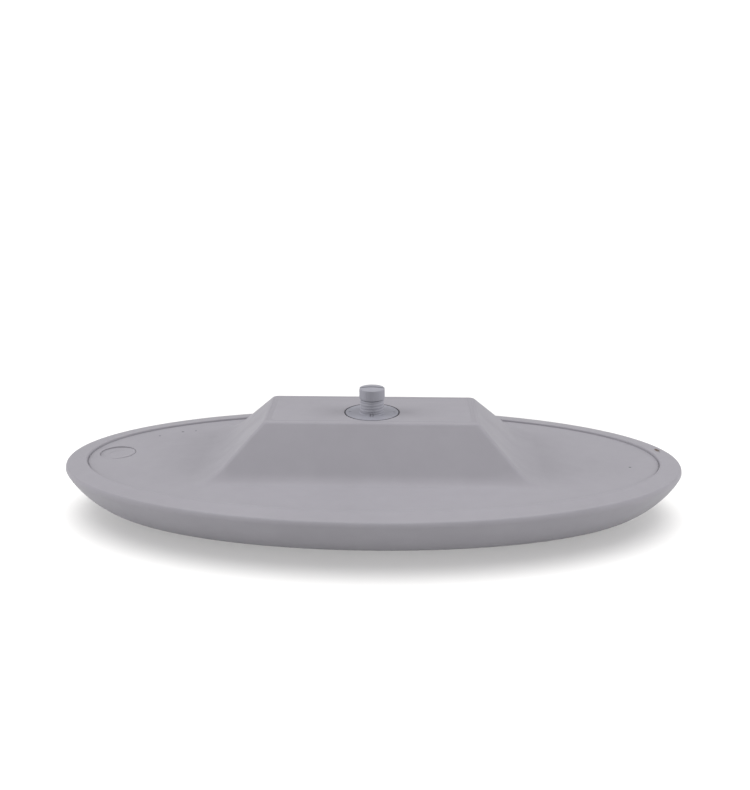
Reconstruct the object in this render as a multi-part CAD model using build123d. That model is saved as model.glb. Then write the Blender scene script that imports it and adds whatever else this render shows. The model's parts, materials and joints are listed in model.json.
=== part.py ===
"""Oval radar dome antenna, lying on its dome with the mounting side up.

Millimetres. +X runs along the oval's length, +Z up towards the mounting stud, and the
origin is under the middle of the antenna, on the surface that the dome rests on.
"""
from build123d import *
from math import acos, cos, pi, radians, sin, sqrt, tan
import os

# --- Oval body -----------------------------------------------------------------------
HALF_LENGTH = 308.0
HALF_WIDTH = 158.0
RIM_Z = 60.0              # inner edge of the rim band
WIDEST_Z = 53.0           # level of the largest section
EDGE_Z = 57.4             # outer edge of the sloping rim band
EDGE_ROUND = 2.5          # rounding between the side and the band
DOME_WALL = 3.2
UNDER_INSET_X = 78.0      # from the outline to the edge of the flat underside
UNDER_INSET_Y = 86.0
DOME_POWER_OUT = 2.07     # superellipse powers of the dome's section
DOME_POWER_DOWN = 1.2
DOME_STEPS = 12

# --- Seat for the cover --------------------------------------------------------------
STEP_INSET = 21.5         # from the outline to the step round the cover
SEAT_INSET = 36.0
SEAT_Z = 54.0
SEAT_THICK = 3.0
LIP_WALL = 3.5
SEAL_THICK = 1.0
COVER_GAP = 0.6

# --- Cover and its pyramid -----------------------------------------------------------
PANEL_THICK = 3.0
PANEL_Z = SEAT_Z + SEAL_THICK + PANEL_THICK
TOP_Z = 106.5             # flat top of the pyramid
TOP_HALF_X = 104.0
TOP_HALF_Y = 43.5
PYRAMID_BACK = 8.0        # the pyramid stands this far behind the stud's axis
SIDE_RUN = 1.0            # run of the end flanks for each unit of drop
FRONT_RUN = 0.77          # run of the front and back flanks
TOP_THICK = 4.0
FLANK_WALL = 3.2
BASE_BLEND = 30.0         # concave blend between flank and panel
INNER_BLEND = 24.0        # the same blend on the underside
RIDGE_ROUND = 5.0
TOP_ROUND = 1.6
BOSS_X = 88.0
BOSS_Y = 27.0
BOSS_R = 5.0

# --- Mounting disc and stud ----------------------------------------------------------
DISC_R = 26.9
DISC_GAP = 0.3
DISC_FLANGE_R = 32.0
DISC_FLANGE_THICK = 3.4
STUD_R = 12.0             # major radius of the M24 thread
STUD_LOWER_R = 11.0       # the clamped lower end is thinner
STUD_BORE_R = 7.5
STUD_HEIGHT = 17.0
STUD_BOTTOM = 86.0
NUT_FLATS = 36.0
NUT_THICK = 10.0
WASHER_R = 22.0
WASHER_THICK = 2.0
CAP_RING = 1.0            # seal that shows as a line under the cap
CAP_HEIGHT = 8.6
CAP_RIBS = 40
CAP_RIB_R = 0.25
CAP_SHANK_R = 7.2
CAP_SHANK = 12.0
CAP_SLOT_WIDTH = 2.4
CAP_SLOT_DEPTH = 2.6

# --- Vent plug -----------------------------------------------------------------------
PLUG_AT = (-260.0, 7.0)
PLUG_HEAD_R = 17.4
PLUG_RECESS_R = 17.9
PLUG_RECESS = 1.6
PLUG_HOLE_R = 8.5
PLUG_SHANK_R = 8.1
PLUG_BOSS_R = 11.0
PLUG_BOSS_Z = 47.0
PLUG_SHANK = 6.0

# --- Chassis and bearings ------------------------------------------------------------
CHASSIS_Z = 58.0
CHASSIS_THICK = 3.0
CHASSIS_HALF_X = 118.0
CHASSIS_HALF_Y = 54.0
BARREL_R = 18.0
BARREL_BOTTOM = 52.6
BARREL_TOP = 77.0
HOUSING_FLANGE_R = 30.0
HOUSING_FLANGE_THICK = 4.0
HOUSING_SCREW_R = 24.5
BEARING_OUTER_R = 14.0
BEARING_THICK = 8.0
LOWER_BEARING_Z = 53.0
UPPER_BEARING_Z = 68.0
SPINDLE_R = 6.0
RUNNING_GAP = 0.05
SPINDLE_BORE_R = 3.0
SPINDLE_TOP = 79.5
SPINDLE_BOTTOM = 43.0
SPINDLE_FLANGE_R = 16.5
SPINDLE_FLANGE_THICK = 3.5
FLANGE_SCREW_R = 12.0
SMALL_SCREW_R = 1.25
CIRCLIP_Z = 76.4
CIRCLIP_THICK = 1.1
CIRCLIP_INNER_R = 5.3

# --- Drive ---------------------------------------------------------------------------
MODULE = 1.5
GEAR_TEETH = 60
PINION_TEETH = 15
PRESSURE_ANGLE = 20.0
BACKLASH = 0.25
GEAR_Z = 46.6
GEAR_THICK = 4.0
PINION_THICK = 4.6
MOTOR_X = MODULE * (GEAR_TEETH + PINION_TEETH) / 2
MOTOR_R = 18.0
MOTOR_HEIGHT = 25.0
MOTOR_FLANGE = 42.0
MOTOR_SCREW_AT = 16.0
MOTOR_SHAFT_R = 2.5
MAGNET_AT_R = 36.0

# --- Array ---------------------------------------------------------------------------
ARRAY_HALF = 112.0
ARRAY_BOTTOM = 17.0
ARRAY_TOP = 39.0
ARRAY_BACK_Y = -8.0       # front of the back plate, which faces -Y
ARRAY_PLATE = 3.0
BOARD_THICK = 1.6
PATCH_COUNT = 12
PATCH_SIZE = 12.0

# --- Electronics ---------------------------------------------------------------------
SHIELD_X = (-80.0, -34.0)
SHIELD_HALF_Y = 30.0
SHIELD_HEIGHT = 25.0
SHIELD_WALL = 1.2
LOGIC_HALF_X = 34.0
LOGIC_Y = (33.0, 52.0)
STANDOFF = 6.0
STANDOFF_R = 2.6
SCREW_R = 1.6
HOLE_PLAY = 0.15

DECK = CHASSIS_Z + CHASSIS_THICK


# --- Small helpers -------------------------------------------------------------------
def cylinder(radius, low, high, x=0.0, y=0.0):
    """Upright cylinder between two levels."""
    return Pos(x, y, low) * Cylinder(radius, high - low, align=(Align.CENTER, Align.CENTER, Align.MIN))


def ring(outer, inner, low, high, x=0.0, y=0.0):
    """Upright tube between two levels."""
    return cylinder(outer, low, high, x, y) - cylinder(inner, low - 1, high + 1, x, y)


def block(x, y, z):
    """Box from (low, high) pairs."""
    size = [pair[1] - pair[0] for pair in (x, y, z)]
    middle = [(pair[1] + pair[0]) / 2 for pair in (x, y, z)]
    return Pos(*middle) * Box(*size)


def oval(inset, low, high):
    """Upright oval slab whose outline lies inset from the body's outline."""
    face = Pos(0, 0, low) * Ellipse(HALF_LENGTH - inset, HALF_WIDTH - inset)
    return extrude(face, high - low)


def screws(places, head_z, head, shank_z, head_r=2.8, shank_r=SCREW_R):
    """Pan-head screws: a head at head_z and a shank that ends at shank_z."""
    made = []
    for x, y in places:
        low, high = sorted((head_z, head_z + head))
        shank_low, shank_high = sorted((head_z, shank_z))
        drive = cylinder(head_r * 0.4, high - 1, high + 1, x, y) if head > 0 \
            else cylinder(head_r * 0.4, low - 1, low + 1, x, y)
        body = cylinder(head_r, low, high, x, y) + cylinder(shank_r, shank_low, shank_high, x, y)
        made.append(body - drive)
    return made


def circle_places(radius, count, start=0.0):
    """Points evenly spaced on a circle about the spindle."""
    angles = [radians(start + 360 * i / count) for i in range(count)]
    return [(radius * cos(a), radius * sin(a)) for a in angles]


def corners(half_x, half_y, x=0.0, y=0.0):
    """The four corners of a rectangle."""
    return [(x + i * half_x, y + j * half_y) for i in (-1, 1) for j in (-1, 1)]


def save(shape, node):
    """Write one node; a list of solids becomes one compound."""
    if isinstance(shape, list):
        shape = Compound(children=shape)
    export_step(shape, f"parts/{node}.step")


# --- Radome --------------------------------------------------------------------------
def dome_solid(wall):
    """Solid oval dome below the widest section, shrunk by a wall all round."""
    length, width, depth = HALF_LENGTH - wall, HALF_WIDTH - wall, WIDEST_Z - wall
    sections = []
    for i in range(DOME_STEPS + 1):
        turn = radians(90 * i / DOME_STEPS)
        inward = 1 - sin(turn) ** (2 / DOME_POWER_OUT)
        level = WIDEST_Z - depth * max(cos(turn), 0) ** (2 / DOME_POWER_DOWN)
        outline = Ellipse(length - UNDER_INSET_X * inward, width - UNDER_INSET_Y * inward)
        sections.append(Pos(0, 0, level) * outline)
    return loft(sections)


def slope(inset_low, z_low, inset_high, z_high):
    """Oval slab whose side slopes between two insets."""
    low = Pos(0, 0, z_low) * Ellipse(HALF_LENGTH - inset_low, HALF_WIDTH - inset_low)
    high = Pos(0, 0, z_high) * Ellipse(HALF_LENGTH - inset_high, HALF_WIDTH - inset_high)
    return loft([low, high], ruled=True)


def dome_radome():
    """Dome shell, its returned rim band and the seat for the cover."""
    rise = EDGE_Z - WIDEST_Z
    shell = dome_solid(0)
    turns = [radians(a) for a in (0, 30, 60, 90)]
    points = [(EDGE_ROUND * (1 - cos(t)), WIDEST_Z + rise * sin(t)) for t in turns]
    for (inset_a, z_a), (inset_b, z_b) in zip(points, points[1:]):
        shell += slope(inset_a, z_a, inset_b, z_b)
    shell += slope(EDGE_ROUND, EDGE_Z, STEP_INSET, RIM_Z)
    under_band = EDGE_Z - DOME_WALL
    seat_low = SEAT_Z - SEAT_THICK
    lip = STEP_INSET - LIP_WALL
    hollow = dome_solid(DOME_WALL)
    hollow -= oval(lip, seat_low, RIM_Z)
    hollow += oval(EDGE_ROUND + DOME_WALL, seat_low, under_band) - oval(lip, seat_low - 1, RIM_Z)
    return shell - hollow - oval(STEP_INSET, SEAT_Z, RIM_Z + 1) - oval(SEAT_INSET, seat_low - 1, RIM_Z)


def rim_seal():
    """Flat bead on the seat, under the cover's edge."""
    return oval(STEP_INSET + 0.2, SEAT_Z, SEAT_Z + SEAL_THICK) - oval(SEAT_INSET - 1.5, SEAT_Z - 1, RIM_Z)


# --- Cover ---------------------------------------------------------------------------
def trapezium(half_top, run, top, bottom, plane, reach):
    """Prism with a trapezium section: half_top wide at the top, spreading by run."""
    half_bottom = half_top + run * (top - bottom)
    outline = Polyline((-half_bottom, bottom), (half_bottom, bottom), (half_top, top), (-half_top, top),
                       close=True)
    return extrude(plane * make_face(outline), reach, both=True)


def pyramid(shrink_x, shrink_y, top, bottom, ridge):
    """Truncated pyramid with rounded ridges."""
    wide = trapezium(TOP_HALF_X - shrink_x + SIDE_RUN * (TOP_Z - top), SIDE_RUN, top, bottom, Plane.XZ, 400)
    deep = trapezium(TOP_HALF_Y - shrink_y + FRONT_RUN * (TOP_Z - top), FRONT_RUN, top, bottom, Plane.YZ, 400)
    body = wide & deep
    ridges = [e for e in body.edges() if abs(e.tangent_at(0.5).Z) > 0.1]
    return Pos(0, PYRAMID_BACK, 0) * fillet(ridges, ridge)


def blended(body, plate, level, radius):
    """Join a pyramid to a plate and blend the corner between them."""
    joined = body + plate
    foot = [e for e in joined.edges() if abs(e.center().Z - level) < 0.01 and e.length < 400
            and e.bounding_box().size.Z < 0.01]
    return fillet(foot, radius)


def mounting_cover():
    """Panel and hollow pyramid, with bosses for the chassis and the vent plug."""
    low = SEAT_Z + SEAL_THICK
    edge = STEP_INSET + COVER_GAP
    outer = blended(pyramid(0, 0, TOP_Z, low + 1, RIDGE_ROUND), oval(edge, low, PANEL_Z), PANEL_Z, BASE_BLEND)
    rim = [e for e in outer.edges() if abs(e.center().Z - TOP_Z) < 0.01 and e.bounding_box().size.Z < 0.01]
    outer = fillet(rim, TOP_ROUND)
    side, front = (FLANK_WALL / sin(atan_run(run)) for run in (SIDE_RUN, FRONT_RUN))
    inner = blended(pyramid(side, front, TOP_Z - TOP_THICK, low - 6, RIDGE_ROUND),
                    oval(edge + 1, low - 8, low), low, INNER_BLEND)
    cover = outer - inner
    for x, y in corners(BOSS_X, BOSS_Y):
        cover += cylinder(BOSS_R, DECK, TOP_Z - TOP_THICK + 0.5, x, y)
        cover -= cylinder(SCREW_R + HOLE_PLAY, DECK - 1, DECK + 14, x, y)
    cover -= cylinder(DISC_R + DISC_GAP, TOP_Z - TOP_THICK - 1, TOP_Z + 1)
    cover += cylinder(PLUG_BOSS_R, PLUG_BOSS_Z, low + 0.5, *PLUG_AT)
    cover -= cylinder(PLUG_RECESS_R, PANEL_Z - PLUG_RECESS, PANEL_Z + 5, *PLUG_AT)
    return cover - cylinder(PLUG_HOLE_R, PLUG_BOSS_Z - 1, PANEL_Z, *PLUG_AT)


def atan_run(run):
    """Slope angle of a flank from its run for each unit of drop."""
    return acos(run / sqrt(1 + run * run))


# --- Mounting disc, stud and cap -----------------------------------------------------
FLANGE_TOP = TOP_Z - TOP_THICK - SEAL_THICK
FLANGE_LOW = FLANGE_TOP - DISC_FLANGE_THICK
STUD_TOP = TOP_Z + STUD_HEIGHT
CAP_LOW = STUD_TOP + CAP_RING
CAP_TOP = CAP_LOW + CAP_HEIGHT


def mounting_disc():
    """Round insert, flush with the pyramid's top, with a flange below the wall."""
    body = cylinder(DISC_R, FLANGE_TOP - 1, TOP_Z) + cylinder(DISC_FLANGE_R, FLANGE_LOW, FLANGE_TOP)
    return body - cylinder(STUD_LOWER_R + RUNNING_GAP, FLANGE_LOW - 1, TOP_Z + 1)


def mounting_stud():
    """Hollow stud: its free end is at the thread's major radius, its lower end is thinner."""
    body = cylinder(STUD_R, TOP_Z, STUD_TOP) + cylinder(STUD_LOWER_R, STUD_BOTTOM, TOP_Z)
    return body - cylinder(STUD_BORE_R, STUD_BOTTOM - 1, STUD_TOP + 1)


def stud_nut():
    """Hexagon nut that clamps the stud below the disc."""
    top = FLANGE_LOW - WASHER_THICK
    hexagon = RegularPolygon(NUT_FLATS / 2, 6, major_radius=False)
    nut = extrude(Pos(0, 0, top - NUT_THICK) * hexagon, NUT_THICK)
    return nut - cylinder(STUD_LOWER_R + RUNNING_GAP, top - NUT_THICK - 1, top + 1)


def stud_cap():
    """Slotted cap with a ribbed side and a shank in the stud's bore."""
    side_r = STUD_R - CAP_RIB_R - 0.05
    head = fillet(cylinder(side_r, CAP_LOW, CAP_TOP).edges().sort_by(Axis.Z)[-1], 0.6)
    for x, y in circle_places(side_r, CAP_RIBS):
        head += cylinder(CAP_RIB_R, CAP_LOW + 0.8, CAP_TOP - 1.4, x, y)
    slot = block((-STUD_R - 1, STUD_R + 1), (-CAP_SLOT_WIDTH / 2, CAP_SLOT_WIDTH / 2),
                 (CAP_TOP - CAP_SLOT_DEPTH, CAP_TOP + 1))
    return head + cylinder(CAP_SHANK_R, STUD_TOP - CAP_SHANK, CAP_LOW + 0.5) - slot


def vent_plug():
    """Flat round plug with a shank in the cover's boss."""
    head = cylinder(PLUG_HEAD_R, PANEL_Z - PLUG_RECESS + 0.5, PANEL_Z + 0.2, *PLUG_AT)
    head = fillet(head.edges().sort_by(Axis.Z)[-1], 0.5)
    return head + cylinder(PLUG_SHANK_R, PANEL_Z - PLUG_RECESS - PLUG_SHANK, PANEL_Z - 0.5, *PLUG_AT)


# --- Chassis and bearings ------------------------------------------------------------
HOUSING_SCREWS = circle_places(HOUSING_SCREW_R, 4, 45)
GEAR_SCREWS = circle_places(FLANGE_SCREW_R, 4, 45)
CARRIER_SCREWS = circle_places(FLANGE_SCREW_R, 4)[:3]
MOTOR_SCREWS = corners(MOTOR_SCREW_AT, MOTOR_SCREW_AT, MOTOR_X)
LOGIC_CORNERS = [(i * (LOGIC_HALF_X - 4), j * (y + side)) for i in (-1, 1) for j in (-1, 1)
                 for y, side in ((LOGIC_Y[0], 4), (LOGIC_Y[1], -4))]
SHIELD_CORNERS = [(x, j * (SHIELD_HALF_Y - 5)) for x in (SHIELD_X[0] + 5, SHIELD_X[1] - 5) for j in (-1, 1)]


def chassis_plate():
    """Aluminium plate that carries the drive and the electronics."""
    plate = block((-CHASSIS_HALF_X, CHASSIS_HALF_X), (-CHASSIS_HALF_Y, CHASSIS_HALF_Y), (CHASSIS_Z, DECK))
    plate = fillet(plate.edges().filter_by(Axis.Z), 14)
    holes = corners(BOSS_X, BOSS_Y) + HOUSING_SCREWS + MOTOR_SCREWS
    for x, y in holes:
        plate -= cylinder(SCREW_R + HOLE_PLAY, CHASSIS_Z - 1, DECK + 1, x, y)
    plate -= cylinder(BARREL_R + 0.3, CHASSIS_Z - 1, DECK + 1)
    return plate - cylinder(6.4, CHASSIS_Z - 1, DECK + 1, MOTOR_X)


def bearing_housing():
    """Flanged barrel with a seat at each end and a shoulder between the bearings."""
    body = cylinder(BARREL_R, BARREL_BOTTOM, BARREL_TOP)
    body += cylinder(HOUSING_FLANGE_R, DECK, DECK + HOUSING_FLANGE_THICK)
    bore = BEARING_OUTER_R + RUNNING_GAP
    body -= cylinder(bore, BARREL_BOTTOM - 1, LOWER_BEARING_Z + BEARING_THICK)
    body -= cylinder(bore, UPPER_BEARING_Z, BARREL_TOP + 1)
    body -= cylinder(BEARING_OUTER_R - 2, BARREL_BOTTOM, BARREL_TOP)
    for x, y in HOUSING_SCREWS:
        body -= cylinder(SCREW_R + HOLE_PLAY, DECK - 1, DECK + 9, x, y)
    return body


def bearing(low):
    """Ball bearing as one closed ring with a shallow groove between its races."""
    body = ring(BEARING_OUTER_R, SPINDLE_R + RUNNING_GAP, low, low + BEARING_THICK)
    for z in (low, low + BEARING_THICK):
        body -= ring(BEARING_OUTER_R - 2.4, SPINDLE_R + 2.4, z - 0.6, z + 0.6)
    return body


def spindle():
    """Hollow shaft with a shoulder and the flange that carries the array."""
    flange_top = SPINDLE_BOTTOM + SPINDLE_FLANGE_THICK
    body = cylinder(SPINDLE_R, SPINDLE_BOTTOM, SPINDLE_TOP)
    body += cylinder(SPINDLE_FLANGE_R, SPINDLE_BOTTOM, flange_top)
    body += cylinder(SPINDLE_R + 2, SPINDLE_BOTTOM, LOWER_BEARING_Z - 0.5)
    body -= ring(SPINDLE_R + 1, CIRCLIP_INNER_R + 0.1, CIRCLIP_Z, CIRCLIP_Z + CIRCLIP_THICK)
    for x, y in GEAR_SCREWS + CARRIER_SCREWS:
        body -= cylinder(SMALL_SCREW_R + HOLE_PLAY, SPINDLE_BOTTOM - 1, flange_top + 1, x, y)
    return body - cylinder(SPINDLE_BORE_R, SPINDLE_BOTTOM - 1, SPINDLE_TOP + 1)


def spindle_circlip():
    """Open retaining ring in the spindle's groove."""
    low, high = CIRCLIP_Z + 0.05, CIRCLIP_Z + CIRCLIP_THICK - 0.05
    body = ring(SPINDLE_R + 2.2, CIRCLIP_INNER_R + 0.15, low, high)
    return body - block((0, SPINDLE_R + 3), (-2, 2), (low - 1, high + 1))


def rotary_joint():
    """Fixed half of the rotary joint: a can over the barrel with a central probe."""
    low, top = BARREL_TOP - 6, BARREL_TOP + 7
    can = ring(BARREL_R + 2.6, BARREL_R + RUNNING_GAP, low, BARREL_TOP + 0.1)
    can += ring(BARREL_R + 2.6, BARREL_R - 1, BARREL_TOP + 0.1, top - 2)
    can += cylinder(BARREL_R + 2.6, top - 2, top)
    return can + cylinder(1.4, BARREL_TOP - 12, top - 1)


# --- Drive ---------------------------------------------------------------------------
def gear_face(teeth):
    """Involute outline: each flank narrows with radius by the involute function."""
    pitch_r = MODULE * teeth / 2
    base_r = pitch_r * cos(radians(PRESSURE_ANGLE))
    tip_r, root_r = pitch_r + 0.8 * MODULE, pitch_r - 1.05 * MODULE
    pitch_half = pi / (2 * teeth) - BACKLASH / (2 * pitch_r)
    involute = tan(radians(PRESSURE_ANGLE)) - radians(PRESSURE_ANGLE)

    def half_angle(radius):
        angle = acos(min(base_r / radius, 1))
        return pitch_half + involute - (tan(angle) - angle)

    flank = [root_r, max(root_r + 0.1, base_r), pitch_r, (pitch_r + tip_r) / 2, tip_r]
    points = []
    for tooth in range(teeth):
        middle = 2 * pi * tooth / teeth
        rising = [(r, middle - half_angle(r)) for r in flank]
        falling = [(r, middle + half_angle(r)) for r in reversed(flank)]
        points += [(r * cos(a), r * sin(a)) for r, a in rising + falling]
    return make_face(Polyline(*points, close=True))


def scanner_gear():
    """Driven gear on the spindle's flange, lightened by six windows."""
    gear = extrude(Pos(0, 0, GEAR_Z) * gear_face(GEAR_TEETH), GEAR_THICK)
    gear -= cylinder(SPINDLE_R + 2 + RUNNING_GAP, GEAR_Z - 1, GEAR_Z + GEAR_THICK + 1)
    for x, y in circle_places(27, 6, 30):
        gear -= cylinder(6.5, GEAR_Z - 1, GEAR_Z + GEAR_THICK + 1, x, y)
    for x, y in GEAR_SCREWS:
        gear -= cylinder(SMALL_SCREW_R + HOLE_PLAY, GEAR_Z - 1, GEAR_Z + GEAR_THICK, x, y)
        gear -= cylinder(2.5, GEAR_Z + GEAR_THICK - 1.8, GEAR_Z + GEAR_THICK + 1, x, y)
    return gear


def motor_pinion():
    """Pinion on the motor's shaft, turned so that a gap faces the gear's tooth."""
    outline = gear_face(PINION_TEETH)
    pinion = extrude(Pos(MOTOR_X, 0, GEAR_Z - 0.3) * outline, PINION_THICK)
    pinion += cylinder(7, GEAR_Z - 0.3 + PINION_THICK, GEAR_Z + PINION_THICK + 3, MOTOR_X)
    return pinion - cylinder(MOTOR_SHAFT_R + 0.02, GEAR_Z - 2, GEAR_Z + 12, MOTOR_X)


def motor():
    """Motor can with a square flange and a locating boss."""
    half = MOTOR_FLANGE / 2
    flange = block((MOTOR_X - half, MOTOR_X + half), (-half, half), (DECK, DECK + 3))
    body = fillet(flange.edges().filter_by(Axis.Z), 4)
    body += cylinder(MOTOR_R, DECK, DECK + MOTOR_HEIGHT, MOTOR_X) + cylinder(6.2, CHASSIS_Z, DECK, MOTOR_X)
    for x, y in MOTOR_SCREWS:
        body -= cylinder(SCREW_R + HOLE_PLAY, DECK - 1, DECK + 4, x, y)
        body -= cylinder(3.2, DECK + 3, DECK + MOTOR_HEIGHT + 1, x, y)
    return body - cylinder(MOTOR_SHAFT_R + RUNNING_GAP, CHASSIS_Z - 1, DECK + 20, MOTOR_X)


# --- Array ---------------------------------------------------------------------------
def array_carrier():
    """Angle bracket: a bar under the spindle's flange and an upright back plate."""
    back = (ARRAY_BACK_Y, ARRAY_BACK_Y + ARRAY_PLATE)
    bar = block((-ARRAY_HALF, ARRAY_HALF), (back[0], 10), (ARRAY_TOP, SPINDLE_BOTTOM))
    bar += cylinder(18, ARRAY_TOP, SPINDLE_BOTTOM)
    bar += block((-ARRAY_HALF, ARRAY_HALF), back, (ARRAY_BOTTOM, ARRAY_TOP + 1))
    for x in (-ARRAY_HALF + 14, -50, 50, ARRAY_HALF - 14):
        rib = Polyline((back[1] - 0.5, ARRAY_BOTTOM + 2), (back[1] - 0.5, ARRAY_TOP + 0.5), (9, ARRAY_TOP + 0.5),
                       close=True)
        bar += extrude(Plane.YZ.offset(x) * make_face(rib), 1.5, both=True)
    bar -= cylinder(SPINDLE_BORE_R, ARRAY_TOP - 1, SPINDLE_BOTTOM + 1)
    for x, y in CARRIER_SCREWS:
        bar -= cylinder(SMALL_SCREW_R + HOLE_PLAY, ARRAY_TOP - 1, SPINDLE_BOTTOM + 1, x, y)
    for x, z in array_screw_places():
        bar -= along_y(SMALL_SCREW_R + HOLE_PLAY, back[0] - 1, back[1] + 1, x, z)
    return bar


def along_y(radius, low, high, x, z):
    """Cylinder along Y between two values of y."""
    return extrude(Plane.XZ.offset(-low) * Pos(x, z) * Circle(radius), -(high - low))


def array_screw_places():
    """Screws along the top and bottom edges of the array board."""
    return [(x, z) for x in (-108, -36, 36, 108) for z in (ARRAY_BOTTOM + 2.6, ARRAY_TOP - 2.6)]


def array_board():
    """Circuit board of the array, on the front of the back plate."""
    front = ARRAY_BACK_Y - BOARD_THICK
    board = block((-ARRAY_HALF, ARRAY_HALF), (front, ARRAY_BACK_Y), (ARRAY_BOTTOM, ARRAY_TOP))
    for x, z in array_screw_places():
        board -= along_y(SMALL_SCREW_R + HOLE_PLAY, front - 1, ARRAY_BACK_Y + 1, x, z)
    return board


def array_patches():
    """Row of raised patch elements on the board."""
    front = ARRAY_BACK_Y - BOARD_THICK
    pitch = 2 * (ARRAY_HALF - 12) / PATCH_COUNT
    middle = (ARRAY_BOTTOM + ARRAY_TOP) / 2
    half = PATCH_SIZE / 2
    xs = [(i - (PATCH_COUNT - 1) / 2) * pitch for i in range(PATCH_COUNT)]
    return [block((x - half, x + half), (front - 0.6, front), (middle - half, middle + half)) for x in xs]


def array_screws():
    """Screws that hold the board on the back plate."""
    front = ARRAY_BACK_Y - BOARD_THICK
    return [along_y(2.2, front - 1.6, front, x, z) + along_y(SMALL_SCREW_R, front, ARRAY_BACK_Y + ARRAY_PLATE, x, z)
            for x, z in array_screw_places()]


def array_absorber():
    """Two foam absorber blocks behind the back plate."""
    back = ARRAY_BACK_Y + ARRAY_PLATE
    return [block(sorted((side * 20, side * 48)), (back, back + 10), (ARRAY_BOTTOM + 3, ARRAY_TOP))
            for side in (-1, 1)]


# --- Electronics ---------------------------------------------------------------------
def board_with_parts(x, y, low, parts):
    """Circuit board with component blocks (x pair, y pair, height) on top."""
    board = block(x, y, (low, low + BOARD_THICK))
    for part_x, part_y, height in parts:
        board += block(part_x, part_y, (low + BOARD_THICK - 0.2, low + BOARD_THICK + height))
    return board


def transceiver_board():
    """Board of the transmitter and receiver, inside its shield."""
    low = DECK + 2
    parts = [((-74, -62), (-16, -4), 2), ((-74, -60), (4, 18), 3), ((-52, -42), (-8, 8), 4),
             ((-56, -50), (14, 20), 6), ((-56, -50), (-22, -16), 6)]
    board = board_with_parts((SHIELD_X[0] + 1.6, SHIELD_X[1] - 1.6), (-SHIELD_HALF_Y + 1.6, SHIELD_HALF_Y - 1.6),
                             low, parts)
    for x, y in SHIELD_CORNERS:
        board += cylinder(2.6, DECK, low + 0.2, x, y)
    return board


def transceiver_shield():
    """Open-bottomed shield can with a row of vent holes."""
    outer = block(SHIELD_X, (-SHIELD_HALF_Y, SHIELD_HALF_Y), (DECK, DECK + SHIELD_HEIGHT))
    outer = fillet(outer.edges().filter_by(Axis.Z), 3)
    inner = block((SHIELD_X[0] + SHIELD_WALL, SHIELD_X[1] - SHIELD_WALL),
                  (-SHIELD_HALF_Y + SHIELD_WALL, SHIELD_HALF_Y - SHIELD_WALL),
                  (DECK - 1, DECK + SHIELD_HEIGHT - SHIELD_WALL))
    can = outer - inner
    for i in range(5):
        can -= cylinder(1.6, DECK + SHIELD_HEIGHT - 3, DECK + SHIELD_HEIGHT + 1, -57 + 8 * (i - 2), 20)
    return can


def logic_board(side, parts):
    """Narrow board on standoffs beside the barrel."""
    low = DECK + STANDOFF
    y = sorted((side * LOGIC_Y[0], side * LOGIC_Y[1]))
    board = board_with_parts((-LOGIC_HALF_X, LOGIC_HALF_X), y, low, parts)
    for x, hole_y in LOGIC_CORNERS:
        board -= cylinder(SMALL_SCREW_R + HOLE_PLAY, low - 1, low + 4, x, hole_y)
    return board


def control_board():
    """Control board with its processor and connectors."""
    return logic_board(1, [((-8, 6), (36, 49), 1.4), ((12, 22), (38, 47), 1), ((-22, -14), (40, 51), 6)])


def power_board():
    """Power board with its inductor, capacitors and connector."""
    board = logic_board(-1, [((-10, 2), (-49, -37), 7), ((14, 24), (-51, -42), 6)])
    for x in (8, -16):
        board += cylinder(3.5, DECK + STANDOFF + 1, DECK + STANDOFF + 13, x, -40)
    return board


def standoff(x, y):
    """Tapped sleeve between the chassis and a board."""
    return ring(STANDOFF_R, SMALL_SCREW_R + HOLE_PLAY, DECK, DECK + STANDOFF, x, y)


def desiccant_pack():
    """Pillow of drying beads beside the motor."""
    pillow = block((82, 112), (-18, 18), (DECK, DECK + 8))
    return fillet(pillow.edges().filter_by(Axis.Z) + pillow.faces().sort_by(Axis.Z)[-1].edges(), 2.5)


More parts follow.
